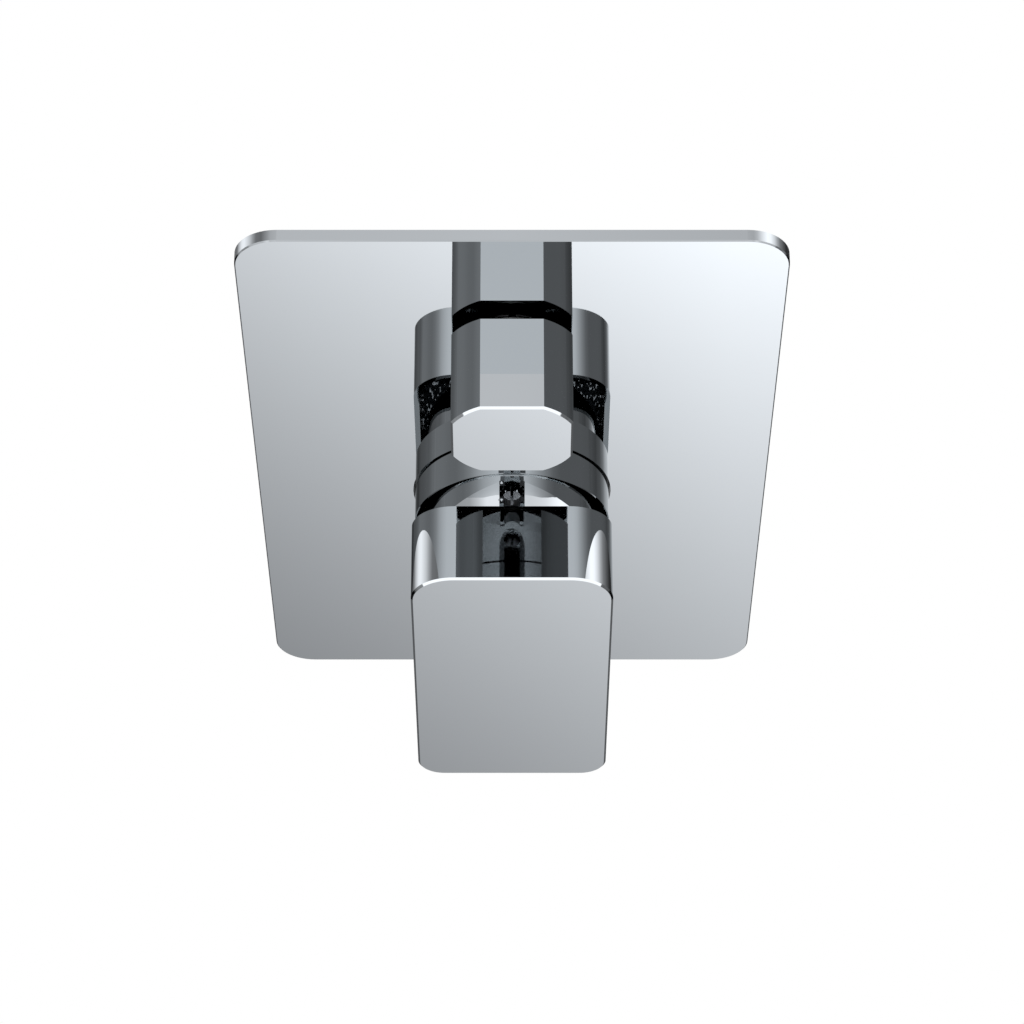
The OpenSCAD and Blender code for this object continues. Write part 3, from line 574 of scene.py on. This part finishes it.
# The knob's hollow gets painted shade with dimmer painted glints
KNOB_CHROME = replace(CHROME, name="knob_chrome", painted_glint=(0.16, 0.165, 0.17), hollows=(
    Hollow((-12.9, -28.0, 21.1), (12.9, -5.7, 46.9), upper=8.2, lower=8.2),
))
BRASS = Cast(
    name="cast_brass", colour=(0.60, 0.42, 0.17), shade=(0.50, 0.33, 0.13), metallic=1.0,
    gloss_from=0.34, gloss_to=0.5, patches=60.0, relief=0.00016, grain=1100.0, cuts=BODY_CUTS)
NUT_BRASS = Turned(
    name="turned_brass", colour=(0.78, 0.58, 0.27), shade=(0.72, 0.52, 0.23), metallic=1.0,
    gloss_from=0.14, gloss_to=0.26, patches=60.0, relief=0.00001, grain=2600.0, centre=MIXER_AXIS)
STEM_BRASS = replace(
    NUT_BRASS, name="stem_brass", gloss_from=0.12, gloss_to=0.24, relief=0.000008,
    centre=DIVERTER_AXIS)
KNOB_BRASS = replace(
    NUT_BRASS, name="nickelled_brass", colour=(0.30, 0.30, 0.29), shade=(0.24, 0.24, 0.235),
    gloss_from=0.2, gloss_to=0.34, centre=DIVERTER_AXIS)
STEEL = Turned(
    name="turned_steel", colour=(0.56, 0.57, 0.58), shade=(0.50, 0.51, 0.52), metallic=1.0,
    gloss_from=0.18, gloss_to=0.3, patches=200.0, relief=0.000006, grain=2600.0,
    centre=MIXER_AXIS)
SCREW_STEEL = Finish(
    name="screw_steel", colour=(0.66, 0.67, 0.69), shade=(0.56, 0.57, 0.59), metallic=1.0,
    gloss_from=0.34, gloss_to=0.46, patches=300.0, relief=0.000006, grain=2500.0)
BLACK_STEEL = Finish(
    name="blackened_steel", colour=(0.36, 0.37, 0.38), shade=(0.27, 0.28, 0.29), metallic=1.0,
    gloss_from=0.2, gloss_to=0.34, patches=300.0, relief=0.00001, grain=2500.0)
RUBBER = Finish(
    name="seal_rubber", colour=(0.018, 0.018, 0.02), shade=(0.03, 0.03, 0.032), metallic=0.0,
    gloss_from=0.5, gloss_to=0.65, patches=200.0, relief=0.00003, grain=3000.0)
CERAMIC = Finish(
    name="lapped_ceramic", colour=(0.82, 0.81, 0.77), shade=(0.78, 0.77, 0.73), metallic=0.0,
    gloss_from=0.08, gloss_to=0.16, patches=90.0, relief=0.000005, grain=4000.0)
PLASTIC = Finish(
    name="moulded_plastic", colour=(0.80, 0.80, 0.78), shade=(0.74, 0.74, 0.72), metallic=0.0,
    gloss_from=0.34, gloss_to=0.46, patches=120.0, relief=0.00002, grain=2600.0)
DARK_PLASTIC = replace(
    PLASTIC, name="insert_plastic", colour=(0.05, 0.05, 0.052), shade=(0.07, 0.07, 0.072),
    gloss_from=0.38, gloss_to=0.5, patches=150.0)
RED_PLASTIC = replace(
    PLASTIC, name="limit_ring_plastic", colour=(0.55, 0.03, 0.02), shade=(0.48, 0.02, 0.02),
    gloss_from=0.32, gloss_to=0.44)
FOAM = Finish(
    name="closed_cell_foam", colour=(0.05, 0.05, 0.055), shade=(0.08, 0.08, 0.085), metallic=0.0,
    gloss_from=0.85, gloss_to=0.95, patches=700.0, relief=0.0003, grain=1500.0)


class Former(Graph):
    """A Geometry Nodes tree with named inputs, which is run once and leaves a plain mesh."""

    def __init__(self, name: str, sizes: dict[str, float]) -> None:
        """Makes the tree and one named input for each size.

        Args:
            name: name of the tree and of the piece.
            sizes: the inputs' names and values.
        """
        super().__init__(bpy.data.node_groups.new(name, "GeometryNodeTree"))
        self.name = name
        self.sizes = sizes
        interface = self.tree.interface
        interface.new_socket("Geometry", in_out="OUTPUT", socket_type="NodeSocketGeometry")
        for label, value in sizes.items():
            kind = "NodeSocketInt" if isinstance(value, int) else "NodeSocketFloat"
            interface.new_socket(label, in_out="INPUT", socket_type=kind)
        self.given = self.add("NodeGroupInput")

    def size(self, label: str) -> bpy.types.NodeSocket:
        """Gives a named input's output socket."""
        return self.given.outputs[label]

    def point(self, x: object, y: object) -> bpy.types.NodeSocket:
        """Gives a point of a flat section.

        Args:
            x: its first number or output.
            y: its second number or output.

        Returns:
            The point.
        """
        node = self.add("ShaderNodeCombineXYZ")
        for socket, value in zip(node.inputs, (x, y)):
            self.feed(socket, value)
        return node.outputs[0]

    def bake(self, shape: bpy.types.NodeSocket, finish: Finish, place: Matrix) -> bpy.types.Object:
        """Ends the tree, runs it and keeps its mesh as a piece at the origin.

        Args:
            shape: the finished geometry.
            finish: what the piece is made of.
            place: where the mesh goes.

        Returns:
            The piece.
        """
        whole = self.add("GeometryNodeRealizeInstances")
        self.feed(whole.inputs[0], shape)
        coat = self.add("GeometryNodeSetMaterial")
        self.feed(coat.inputs["Geometry"], whole.outputs[0])
        coat.inputs["Material"].default_value = finish.material()
        self.feed(self.add("NodeGroupOutput").inputs[0], coat.outputs[0])
        piece = bpy.data.objects.new(self.name, bpy.data.meshes.new(self.name))
        bpy.context.scene.collection.objects.link(piece)
        modifier = piece.modifiers.new(self.name, "NODES")
        modifier.node_group = self.tree
        for item in self.tree.interface.items_tree:
            if item.in_out == "INPUT":
                modifier[item.identifier] = self.sizes[item.name]
        ready = piece.evaluated_get(bpy.context.evaluated_depsgraph_get())
        mesh = bpy.data.meshes.new_from_object(ready)
        piece.modifiers.clear()
        mesh.transform(place)
        work = bmesh.new()
        work.from_mesh(mesh)
        bmesh.ops.recalc_face_normals(work, faces=work.faces)
        work.to_mesh(mesh)
        work.free()
        mesh.polygons.foreach_set("use_smooth", [True] * len(mesh.polygons))
        mesh.set_sharp_from_angle(angle=SHARP_EDGE)
        mesh.name = self.name
        piece.data = mesh
        return piece


@dataclass
class PhotoCamera:
    """The photograph's viewpoint: in front of the wall plate and high above it."""

    place: Vector = field(default_factory=lambda: Vector((0.0, -0.4811, 0.7815)))
    tilt: float = math.radians(30.063)
    lens: float = 134.31
    sensor: float = 36.0

    def build(self) -> None:
        """Makes the camera and gives it to the scene."""
        data = bpy.data.cameras.new("photo_camera")
        data.lens, data.sensor_width = self.lens, self.sensor
        camera = bpy.data.objects.new("photo_camera", data)
        camera.location = self.place
        camera.rotation_euler = (self.tilt, 0.0, 0.0)
        bpy.context.scene.collection.objects.link(camera)
        bpy.context.scene.camera = camera


# Light and dark round the studio, as a mirror sees them at one lean from the wall:
# brightness against the turn from straight up, in degrees, positive to the right
BACK_RING: Table = (
    (-180, 0.10), (-150, 0.20), (-135, 0.25), (-120, 0.95), (-110, 1.42), (-100, 1.55),
    (-90, 1.3), (-80, 1.0), (-70, 0.57), (-60, 0.28), (-45, 0.24), (-30, 0.48), (-20, 0.67),
    (-10, 0.78), (0, 0.88), (4, 0.76), (20, 0.67), (30, 0.84), (40, 1.22), (50, 1.6), (58, 1.85),
    (68, 1.75), (80, 1.2), (90, 0.67), (100, 0.33), (115, 0.15), (130, 0.04), (180, 0.06),
)
SIDE_RING: Table = (
    (-180, 0.10), (-120, 0.20), (-90, 0.40), (-60, 0.57), (-50, 0.62), (-40, 0.95), (-30, 1.4),
    (-20, 1.43), (0, 1.35), (20, 1.12), (30, 1.18), (40, 1.3), (50, 1.6), (60, 1.85), (75, 1.6),
    (90, 0.8), (120, 0.2), (180, 0.10),
)
FRONT_RING: Table = (
    (-180, 0.2), (-120, 0.25), (-110, 0.39), (-100, 0.43), (-90, 0.42), (-80, 0.38), (-70, 0.37),
    (-60, 0.45), (-50, 0.63), (-40, 0.96), (-30, 1.19), (-20, 1.36), (0, 1.42), (10, 1.38),
    (20, 1.22), (30, 0.89), (40, 0.58), (50, 0.34), (60, 0.25), (90, 0.25), (110, 0.22),
    (120, 0.15), (180, 0.12),
)
FAR_RING: Table = (
    (-180, 1.5), (-150, 1.4), (-125, 0.6), (-100, 0.7), (-60, 0.85), (0, 0.85), (60, 0.85),
    (100, 0.7), (125, 0.6), (150, 1.4), (180, 1.6),
)
# The lean of the strip light against the turn
STRIP_LIGHT: Table = (
    (-180, -0.1), (-120, -0.4), (-103, -0.55), (-88, -0.655), (-70, -0.75), (-51, -0.815),
    (-25, -0.865), (0, -0.885), (25, -0.865), (51, -0.815), (70, -0.75), (88, -0.655),
    (103, -0.55), (120, -0.4), (180, -0.1),
)


@dataclass
class Studio:
    """White wall and floor, and the light and dark fields that the chrome mirrors.

    A blend is the pair of places between which one field passes into the next. The lean
    runs from -1, straight out of the wall, to 1, straight into it. The tables of the floor
    give the tone that the plate mirrors, against the floor's depth and width in metres.
    """

    tint: Triple = (0.985, 1.0, 1.033)
    plain: float = 0.85
    mirror: float = 0.55
    wall_half: float = 3.0
    wall_back: float = 0.3 * MM
    # The recess behind the plate is drawn black in the wall as painted shade
    recess: float = 56 * MM
    recess_drop: float = 23.85 * MM
    back_blend: Pair = (0.2, 0.4)
    front_blend: Pair = (-0.02, -0.18)
    far_blend: Pair = (-0.57, -0.62)
    card_blend: Pair = (-0.9, -0.965)
    card_slant: float = 0.45
    card_edge: Pair = (-0.2, 0.24)
    card_low: Triple = (0.42, 0.43, 0.45)
    card_high: Triple = (1.75, 1.78, 1.84)
    strip_edge: Pair = (0.056, 0.04)
    strip_blend: Pair = (-0.58, -0.6)
    strip_colour: Triple = (1.86, 1.88, 1.92)
    cap_blend: Pair = (0.9, 0.98)
    cap_colour: Triple = (0.7, 0.71, 0.73)
    floor_at: float = -2.0
    reach: float = 8.0
    tone_limits: Pair = (0.02, 1.02)
    tone_lift: float = 0.055
    tone_curve: float = 2.4
    depth_table: Table = ((0.0, -0.0456), (1.42, 0.916), (2.2, 0.95), (4.0, 0.80), (8.0, 0.66))
    width_table: Table = (
        (-8.0, -0.22), (-5.5, -0.35), (-3.46, -0.53), (-1.68, -0.57), (-1.15, -0.63),
        (-0.73, -0.48), (-0.4, -0.2), (-0.22, -0.096), (0.0, 0.0), (0.22, 0.096), (0.38, 0.10),
        (0.73, 0.0), (1.15, -0.13), (1.68, -0.39), (2.38, -0.56), (3.46, -0.63), (5.5, -0.48),
        (8.0, -0.38),
    )

    def build(self) -> None:
        """Makes the world, the wall and the floor."""
        bpy.context.scene.view_settings.view_transform = "Standard"
        self.world()
        self.wall()
        self.floor()

    def world(self) -> None:
        """Makes the world: white to the camera, plain to matt surfaces, a studio to mirrors."""
        world = bpy.data.worlds.new("studio")
        bpy.context.scene.world = world
        world.use_nodes = True
        graph = Graph(world.node_tree)
        sky = world.node_tree.nodes["Background"]
        graph.feed(sky.inputs["Color"], self.by_ray(graph, self.fields(graph)))

    def by_ray(self, graph: Graph, mirrored: bpy.types.NodeSocket) -> bpy.types.NodeSocket:
        """Shows white to the camera, a plain grey to matt surfaces and a colour to mirrors.

        Args:
            graph: the nodes of the world or of the floor.
            mirrored: the colour that mirrors see.

        Returns:
            The colour.
        """
        rays = graph.add("ShaderNodeLightPath")
        shown = graph.mix(rays.outputs["Is Glossy Ray"], (self.plain,) * 3, mirrored)
        return graph.mix(rays.outputs["Is Camera Ray"], shown, WHITE)

    def fields(self, graph: Graph) -> bpy.types.NodeSocket:
        """Gives the colour that a mirror sees in each direction.

        Args:
            graph: the world's nodes.

        Returns:
            The colour.
        """
        x, lean, z = graph.split(graph.add("ShaderNodeTexCoord").outputs["Generated"])
        turn = graph.math("DEGREES", graph.math("ARCTAN2", x, z))
        seen = graph.tinted(graph.strip(turn, SIDE_RING), self.tint)
        for ring, blend in ((BACK_RING, self.back_blend), (FRONT_RING, self.front_blend),
                            (FAR_RING, self.far_blend)):
            colour = graph.tinted(graph.strip(turn, ring), self.tint)
            seen = graph.mix(graph.ramp(lean, *blend), seen, colour)
        card = graph.ramp(graph.math("MULTIPLY_ADD", x, self.card_slant, z), *self.card_edge)
        ahead = graph.mix(card, self.card_low, self.card_high)
        seen = graph.mix(graph.ramp(lean, *self.card_blend), seen, ahead)
        off = graph.math("ABSOLUTE", graph.math("SUBTRACT", lean, graph.strip(turn, STRIP_LIGHT)))
        lit = graph.math("MULTIPLY", graph.ramp(off, *self.strip_edge),
                         graph.ramp(lean, *self.strip_blend))
        seen = graph.mix(lit, seen, self.strip_colour)
        return graph.mix(graph.ramp(lean, *self.cap_blend), seen, self.cap_colour)

    def sheet(self, name: str, corners: list[Triple]) -> bpy.types.Object:
        """Makes a flat stage sheet.

        Args:
            name: its name.
            corners: four corners in order.

        Returns:
            The sheet.
        """
        mesh = bpy.data.meshes.new(name)
        mesh.from_pydata(corners, [], [(0, 1, 2, 3)])
        sheet = bpy.data.objects.new(name, mesh)
        bpy.context.scene.collection.objects.link(sheet)
        material = bpy.data.materials.new(name)
        material.use_nodes = True
        material.node_tree.nodes.clear()
        mesh.materials.append(material)
        return sheet

    def wall(self) -> None:
        """Makes the white wall, with the recess behind the plate drawn black as painted shade,
        clear when seen from behind.
        """
        half, back = self.wall_half, self.wall_back
        wall = self.sheet("stage_wall", [
            (-half, back, -half), (half, back, -half), (half, back, half), (-half, back, half)])
        wall.visible_glossy = wall.visible_diffuse = wall.visible_shadow = False
        graph = Graph(wall.data.materials[0].node_tree)
        x, _, z = graph.split(graph.place())
        # Painted shade: no light at all from the wall within the recess
        beside = graph.math("GREATER_THAN", graph.math("ABSOLUTE", x), self.recess)
        over = graph.math("ABSOLUTE", graph.math("ADD", z, self.recess_drop))
        beyond = graph.math("GREATER_THAN", over, self.recess)
        light = graph.add("ShaderNodeEmission")
        graph.feed(light.inputs["Strength"], graph.math("MAXIMUM", beside, beyond))
        switch = graph.add("ShaderNodeMixShader")
        graph.feed(switch.inputs[0], graph.add("ShaderNodeNewGeometry").outputs["Backfacing"])
        graph.feed(switch.inputs[1], light.outputs[0])
        graph.feed(switch.inputs[2], graph.add("ShaderNodeBsdfTransparent").outputs[0])
        graph.feed(graph.add("ShaderNodeOutputMaterial").inputs[0], switch.outputs[0])

    def floor(self) -> None:
        """Makes the pale floor, which shades off towards the wall and to the sides."""
        far, down = self.reach, self.floor_at
        floor = self.sheet("stage_floor", [
            (-far, -far, down), (far, -far, down), (far, 0, down), (-far, 0, down)])
        graph = Graph(floor.data.materials[0].node_tree)
        x, y, _ = graph.split(graph.place())
        deep = graph.strip(graph.math("MULTIPLY", y, -1.0), self.depth_table)
        tone = graph.math("ADD", deep, graph.strip(x, self.width_table))
        darkest, brightest = self.tone_limits
        tone = graph.math("MINIMUM", graph.math("MAXIMUM", tone, darkest), brightest)
        share = graph.math("ADD", tone, self.tone_lift)
        share = graph.math("DIVIDE", share, 1.0 + self.tone_lift)
        level = graph.math("DIVIDE", graph.math("POWER", share, self.tone_curve), self.mirror)
        light = graph.add("ShaderNodeEmission")
        graph.feed(light.inputs[0], self.by_ray(graph, graph.tinted(level, self.tint)))
        graph.feed(graph.add("ShaderNodeOutputMaterial").inputs[0], light.outputs[0])


@dataclass
class Assembly:
    """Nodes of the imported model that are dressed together, with the pieces added to them."""

    name: str = "assembly"

    def finishes(self) -> dict[str, Finish]:
        """Names the finish of each node."""
        return {}

    def pieces(self) -> list[bpy.types.Object]:
        """Builds the pieces that the scene adds."""
        return []

    def build(self) -> None:
        """Dresses the nodes and builds the pieces."""
        for node, finish in self.finishes().items():
            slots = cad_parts[node].data.materials
            slots.clear()
            slots.append(finish.material())
            LOG.info("%s: %s in %s", self.name, node, finish.name)
        for piece in self.pieces():
            LOG.info("%s: %s, %d faces", self.name, piece.name, len(piece.data.polygons))


@dataclass
class PlateTrim(Assembly):
    """Wall plate, sleeve and seals, with the foam strip that lies in the plate's channel."""

    name: str = "plate_trim"
    strip_width: float = 4.8 * MM
    strip_depth: float = 1.2 * MM
    strip_half_width: float = 57.5 * MM
    strip_half_height: float = 94.75 * MM
    strip_corner: float = 5.0 * MM
    middle_height: float = -23.85 * MM
    crown: float = 0.25 * MM
    squareness: float = 0.4
    corner_steps: int = 10
    path_step: float = 1.4 * MM
    section_steps: int = 20
    cells: float = 900.0
    cell_depth: float = 0.12 * MM
    seed: int = 7

    def finishes(self) -> dict[str, Finish]:
        """Names the finish of each node."""
        return {
            "wall_plate": CHROME, "barrel_sleeve": CHROME, "sleeve_seal": RUBBER,
            "plate_lock_nut": KNOB_BRASS,
        }

    def pieces(self) -> list[bpy.types.Object]:
        """Builds the foam strip."""
        return [self.foam_strip()]

    def foam_strip(self) -> bpy.types.Object:
        """Runs a crowned foam section round the plate's rounded outline.

        Returns:
            The strip, in the place of the plain one.
        """
        former = Former("foam_strip", {
            "Width": self.strip_width, "Depth": self.strip_depth, "Crown": self.crown,
            "Corner": self.strip_corner, "Length": 2 * self.strip_half_height,
            "Span": 2 * self.strip_half_width, "Cells": self.cells, "Seed": self.seed,
        })
        swept = former.add("GeometryNodeCurveToMesh")
        former.feed(swept.inputs["Curve"], self.outline(former))
        former.feed(swept.inputs["Profile Curve"], self.section(former))
        pitted = former.add("GeometryNodeSetPosition")
        former.feed(pitted.inputs["Geometry"], swept.outputs[0])
        former.feed(pitted.inputs["Offset"], self.cell_pits(former))
        place = Matrix.Translation((0.0, -self.strip_depth / 2, self.middle_height))
        turned = place @ Matrix.Rotation(math.radians(90), 4, "X")
        piece = former.bake(pitted.outputs[0], FOAM, turned)
        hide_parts("plate_gasket")
        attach(piece, "trim")
        return piece

    def outline(self, former: Former) -> bpy.types.NodeSocket:
        """Draws the rounded rectangle that the strip follows, in short steps.

        Args:
            former: the strip's tree.

        Returns:
            The curve.
        """
        path = former.add("GeometryNodeCurvePrimitiveQuadrilateral", mode="RECTANGLE")
        former.feed(path.inputs["Width"], former.size("Span"))
        former.feed(path.inputs["Height"], former.size("Length"))
        bend = former.add("GeometryNodeFilletCurve", mode="POLY")
        former.feed(bend.inputs["Curve"], path.outputs[0])
        former.feed(bend.inputs["Radius"], former.size("Corner"))
        bend.inputs["Count"].default_value = self.corner_steps
        fine = former.add("GeometryNodeResampleCurve", mode="LENGTH")
        former.feed(fine.inputs["Curve"], bend.outputs[0])
        fine.inputs["Length"].default_value = self.path_step
        return fine.outputs[0]

    def section(self, former: Former) -> bpy.types.NodeSocket:
        """Draws the strip's section, a circle with its points moved.

        Args:
            former: the strip's tree.

        Returns:
            The curve.
        """
        circle = former.add("GeometryNodeCurvePrimitiveCircle", mode="RADIUS")
        circle.inputs["Resolution"].default_value = self.section_steps
        circle.inputs["Radius"].default_value = 1.0
        shaped = former.add("GeometryNodeSetPosition")
        former.feed(shaped.inputs["Geometry"], circle.outputs[0])
        former.feed(shaped.inputs["Position"], self.section_points(former))
        return shaped.outputs[0]

    def section_points(self, former: Former) -> bpy.types.NodeSocket:
        """Bends a circle's points into a blocky section, which is crowned at the wall.

        Args:
            former: the strip's tree.

        Returns:
            The points' places.
        """
        across, up, _ = former.split(former.add("GeometryNodeInputPosition").outputs[0])
        blocky = []
        for part in (across, up):
            size = former.math("POWER", former.math("ABSOLUTE", part), self.squareness)
            blocky.append(former.math("MULTIPLY", size, former.math("SIGN", part)))
        half_width = former.math("MULTIPLY", former.size("Width"), 0.5)
        half_depth = former.math("MULTIPLY", former.size("Depth"), 0.5)
        wide = former.math("MULTIPLY", blocky[0], half_width)
        bow = former.math("MULTIPLY", former.math("MULTIPLY", across, across), former.size("Crown"))
        wall_side = former.math("GREATER_THAN", up, 0.0)
        high = former.math("MULTIPLY", blocky[1], half_depth)
        high = former.math("SUBTRACT", high, former.math("MULTIPLY", bow, wall_side))
        return former.point(wide, high)

    def cell_pits(self, former: Former) -> bpy.types.NodeSocket:
        """Gives the small unevenness of cut foam.

        Args:
            former: the strip's tree.

        Returns:
            The offset of each point, inwards along its normal.
        """
        cells = former.add("ShaderNodeTexNoise", noise_dimensions="4D")
        former.feed(cells.inputs["W"], former.size("Seed"))
        former.feed(cells.inputs["Scale"], former.size("Cells"))
        scaled = former.add("ShaderNodeVectorMath", operation="SCALE")
        former.feed(scaled.inputs[0], former.add("GeometryNodeInputNormal").outputs[0])
        inward = former.math("MULTIPLY", cells.outputs[0], -self.cell_depth)
        former.feed(scaled.inputs["Scale"], inward)
        return scaled.outputs[0]


@dataclass
class LeverHandle(Assembly):
    """The hollow lever with its ball hub, and the screw that clamps it."""

    name: str = "lever_handle"

    def finishes(self) -> dict[str, Finish]:
        """Names the finish of each node."""
        return {"lever_handle": LEVER_CHROME, "handle_set_screw": SCREW_STEEL}


@dataclass
class DiverterKnob(Assembly):
    """The hollow knob, its insert and its screw."""

    name: str = "diverter_knob"

    def finishes(self) -> dict[str, Finish]:
        """Names the finish of each node."""
        return {
            "diverter_knob": KNOB_CHROME, "knob_insert": DARK_PLASTIC,
            "knob_set_screw": BLACK_STEEL,
        }


@dataclass
class MixingCartridge(Assembly):
    """The ceramic cartridge under the lever."""

    name: str = "mixing_cartridge"

    def finishes(self) -> dict[str, Finish]:
        """Names the finish of each node."""
        return {
            "cartridge_spindle": STEEL, "spindle_pin": STEEL, "cartridge_rotor": PLASTIC,
            "hot_limit_ring": RED_PLASTIC, "cartridge_housing": PLASTIC, "disc_carrier": PLASTIC,
            "moving_disc": CERAMIC, "fixed_disc": CERAMIC, "disc_gasket": RUBBER,
            "cartridge_foot": PLASTIC, "foot_seals": RUBBER, "cartridge_nut": NUT_BRASS,
        }


@dataclass
class DiverterValve(Assembly):
    """The diverter's stem, bonnet, seals and discs under the knob."""

    name: str = "diverter_valve"

    def finishes(self) -> dict[str, Finish]:
        """Names the finish of each node."""
        return {
            "diverter_stem": STEM_BRASS, "stem_seals": RUBBER, "stem_clip": BLACK_STEEL,
            "diverter_bonnet": KNOB_BRASS, "bonnet_seal": RUBBER, "diverter_turning_disc": CERAMIC,
            "diverter_seat_disc": CERAMIC, "diverter_lip_seal": RUBBER,
        }


@dataclass
class ValveBody(Assembly):
    """The cast body with the threads of its pipe ports, check valves and strainers."""

    name: str = "valve_body"
    thread_radius: float = 10.5 * MM
    thread_depth: float = 1.16 * MM
    pitch: float = 1.814 * MM
    length: float = 13.2 * MM
    foot_share: float = 0.46
    crest_share: float = 0.09
    sunk: float = 0.12 * MM
    start_share: float = 0.55
    steps: int = 48

    def finishes(self) -> dict[str, Finish]:
        """Names the finish of each node."""
        return {"valve_body": BRASS, "inlet_check_valves": PLASTIC, "inlet_strainers": STEEL}

    def pieces(self) -> list[bpy.types.Object]:
        """Builds the thread of each port."""
        return [self.pipe_thread(port) for port in Port]

    def pipe_thread(self, port: Port) -> bpy.types.Object:
        """Winds a ridge round the wall of a port's bore.

        Args:
            port: the port.

        Returns:
            The thread.
        """
        former = Former(f"{port.name.lower()}_thread", {
            "Radius": self.thread_radius, "Ridge": self.thread_depth, "Pitch": self.pitch,
            "Length": self.length, "Steps": self.steps,
        })
        swept = former.add("GeometryNodeCurveToMesh")
        former.feed(swept.inputs["Curve"], self.helix(former))
        former.feed(swept.inputs["Profile Curve"], self.ridge(former))
        swept.inputs["Fill Caps"].default_value = True
        inward = (-port.outward).to_track_quat("Z", "Y").to_matrix().to_4x4()
        start = port.mouth - port.outward * self.pitch * self.start_share
        piece = former.bake(swept.outputs[0], NUT_BRASS, Matrix.Translation(start) @ inward)
        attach(piece, "trim")
        return piece

    def helix(self, former: Former) -> bpy.types.NodeSocket:
        """Winds a right-handed helix whose normals lie level and point out of the bore.

        Args:
            former: the thread's tree.

        Returns:
            The curve.
        """
        spiral = former.add("GeometryNodeCurveSpiral")
        former.feed(spiral.inputs["Resolution"], former.size("Steps"))
        run = former.math("SUBTRACT", former.size("Length"), former.size("Pitch"))
        former.feed(spiral.inputs["Rotations"], former.math("DIVIDE", run, former.size("Pitch")))
        former.feed(spiral.inputs["Start Radius"], former.size("Radius"))
        former.feed(spiral.inputs["End Radius"], former.size("Radius"))
        former.feed(spiral.inputs["Height"], run)
        spiral.inputs["Reverse"].default_value = True
        level = former.add("GeometryNodeSetCurveNormal", mode="Z_UP")
        former.feed(level.inputs["Curve"], spiral.outputs[0])
        return level.outputs[0]

    def ridge(self, former: Former) -> bpy.types.NodeSocket:
        """Draws the ridge's section: its foot sunk in the bore's wall, its crest in the bore.

        Args:
            former: the thread's tree.

        Returns:
            The curve.
        """
        shape = former.add("GeometryNodeCurvePrimitiveQuadrilateral", mode="POINTS")
        foot = former.math("MULTIPLY", former.size("Pitch"), self.foot_share)
        crest = former.math("MULTIPLY", former.size("Pitch"), self.crest_share)
        tip = former.math("MULTIPLY", former.size("Ridge"), -1.0)
        corners = ((self.sunk, foot), (tip, crest), (tip, former.math("MULTIPLY", crest, -1.0)),
                   (self.sunk, former.math("MULTIPLY", foot, -1.0)))
        for index, (out, along) in enumerate(corners):
            former.feed(shape.inputs[f"Point {index + 1}"], former.point(out, along))
        return shape.outputs[0]


def assemblies() -> list[Assembly]:
    """Lists the sub-assemblies in the order in which they are built."""
    return [
        PlateTrim(), LeverHandle(), DiverterKnob(), MixingCartridge(), DiverterValve(), ValveBody(),
    ]


def main() -> None:
    """Builds the camera, the studio and every sub-assembly."""
    logging.basicConfig(level=logging.INFO)
    PhotoCamera().build()
    Studio().build()
    for assembly in assemblies():
        assembly.build()


if __name__ == "__main__":
    main()
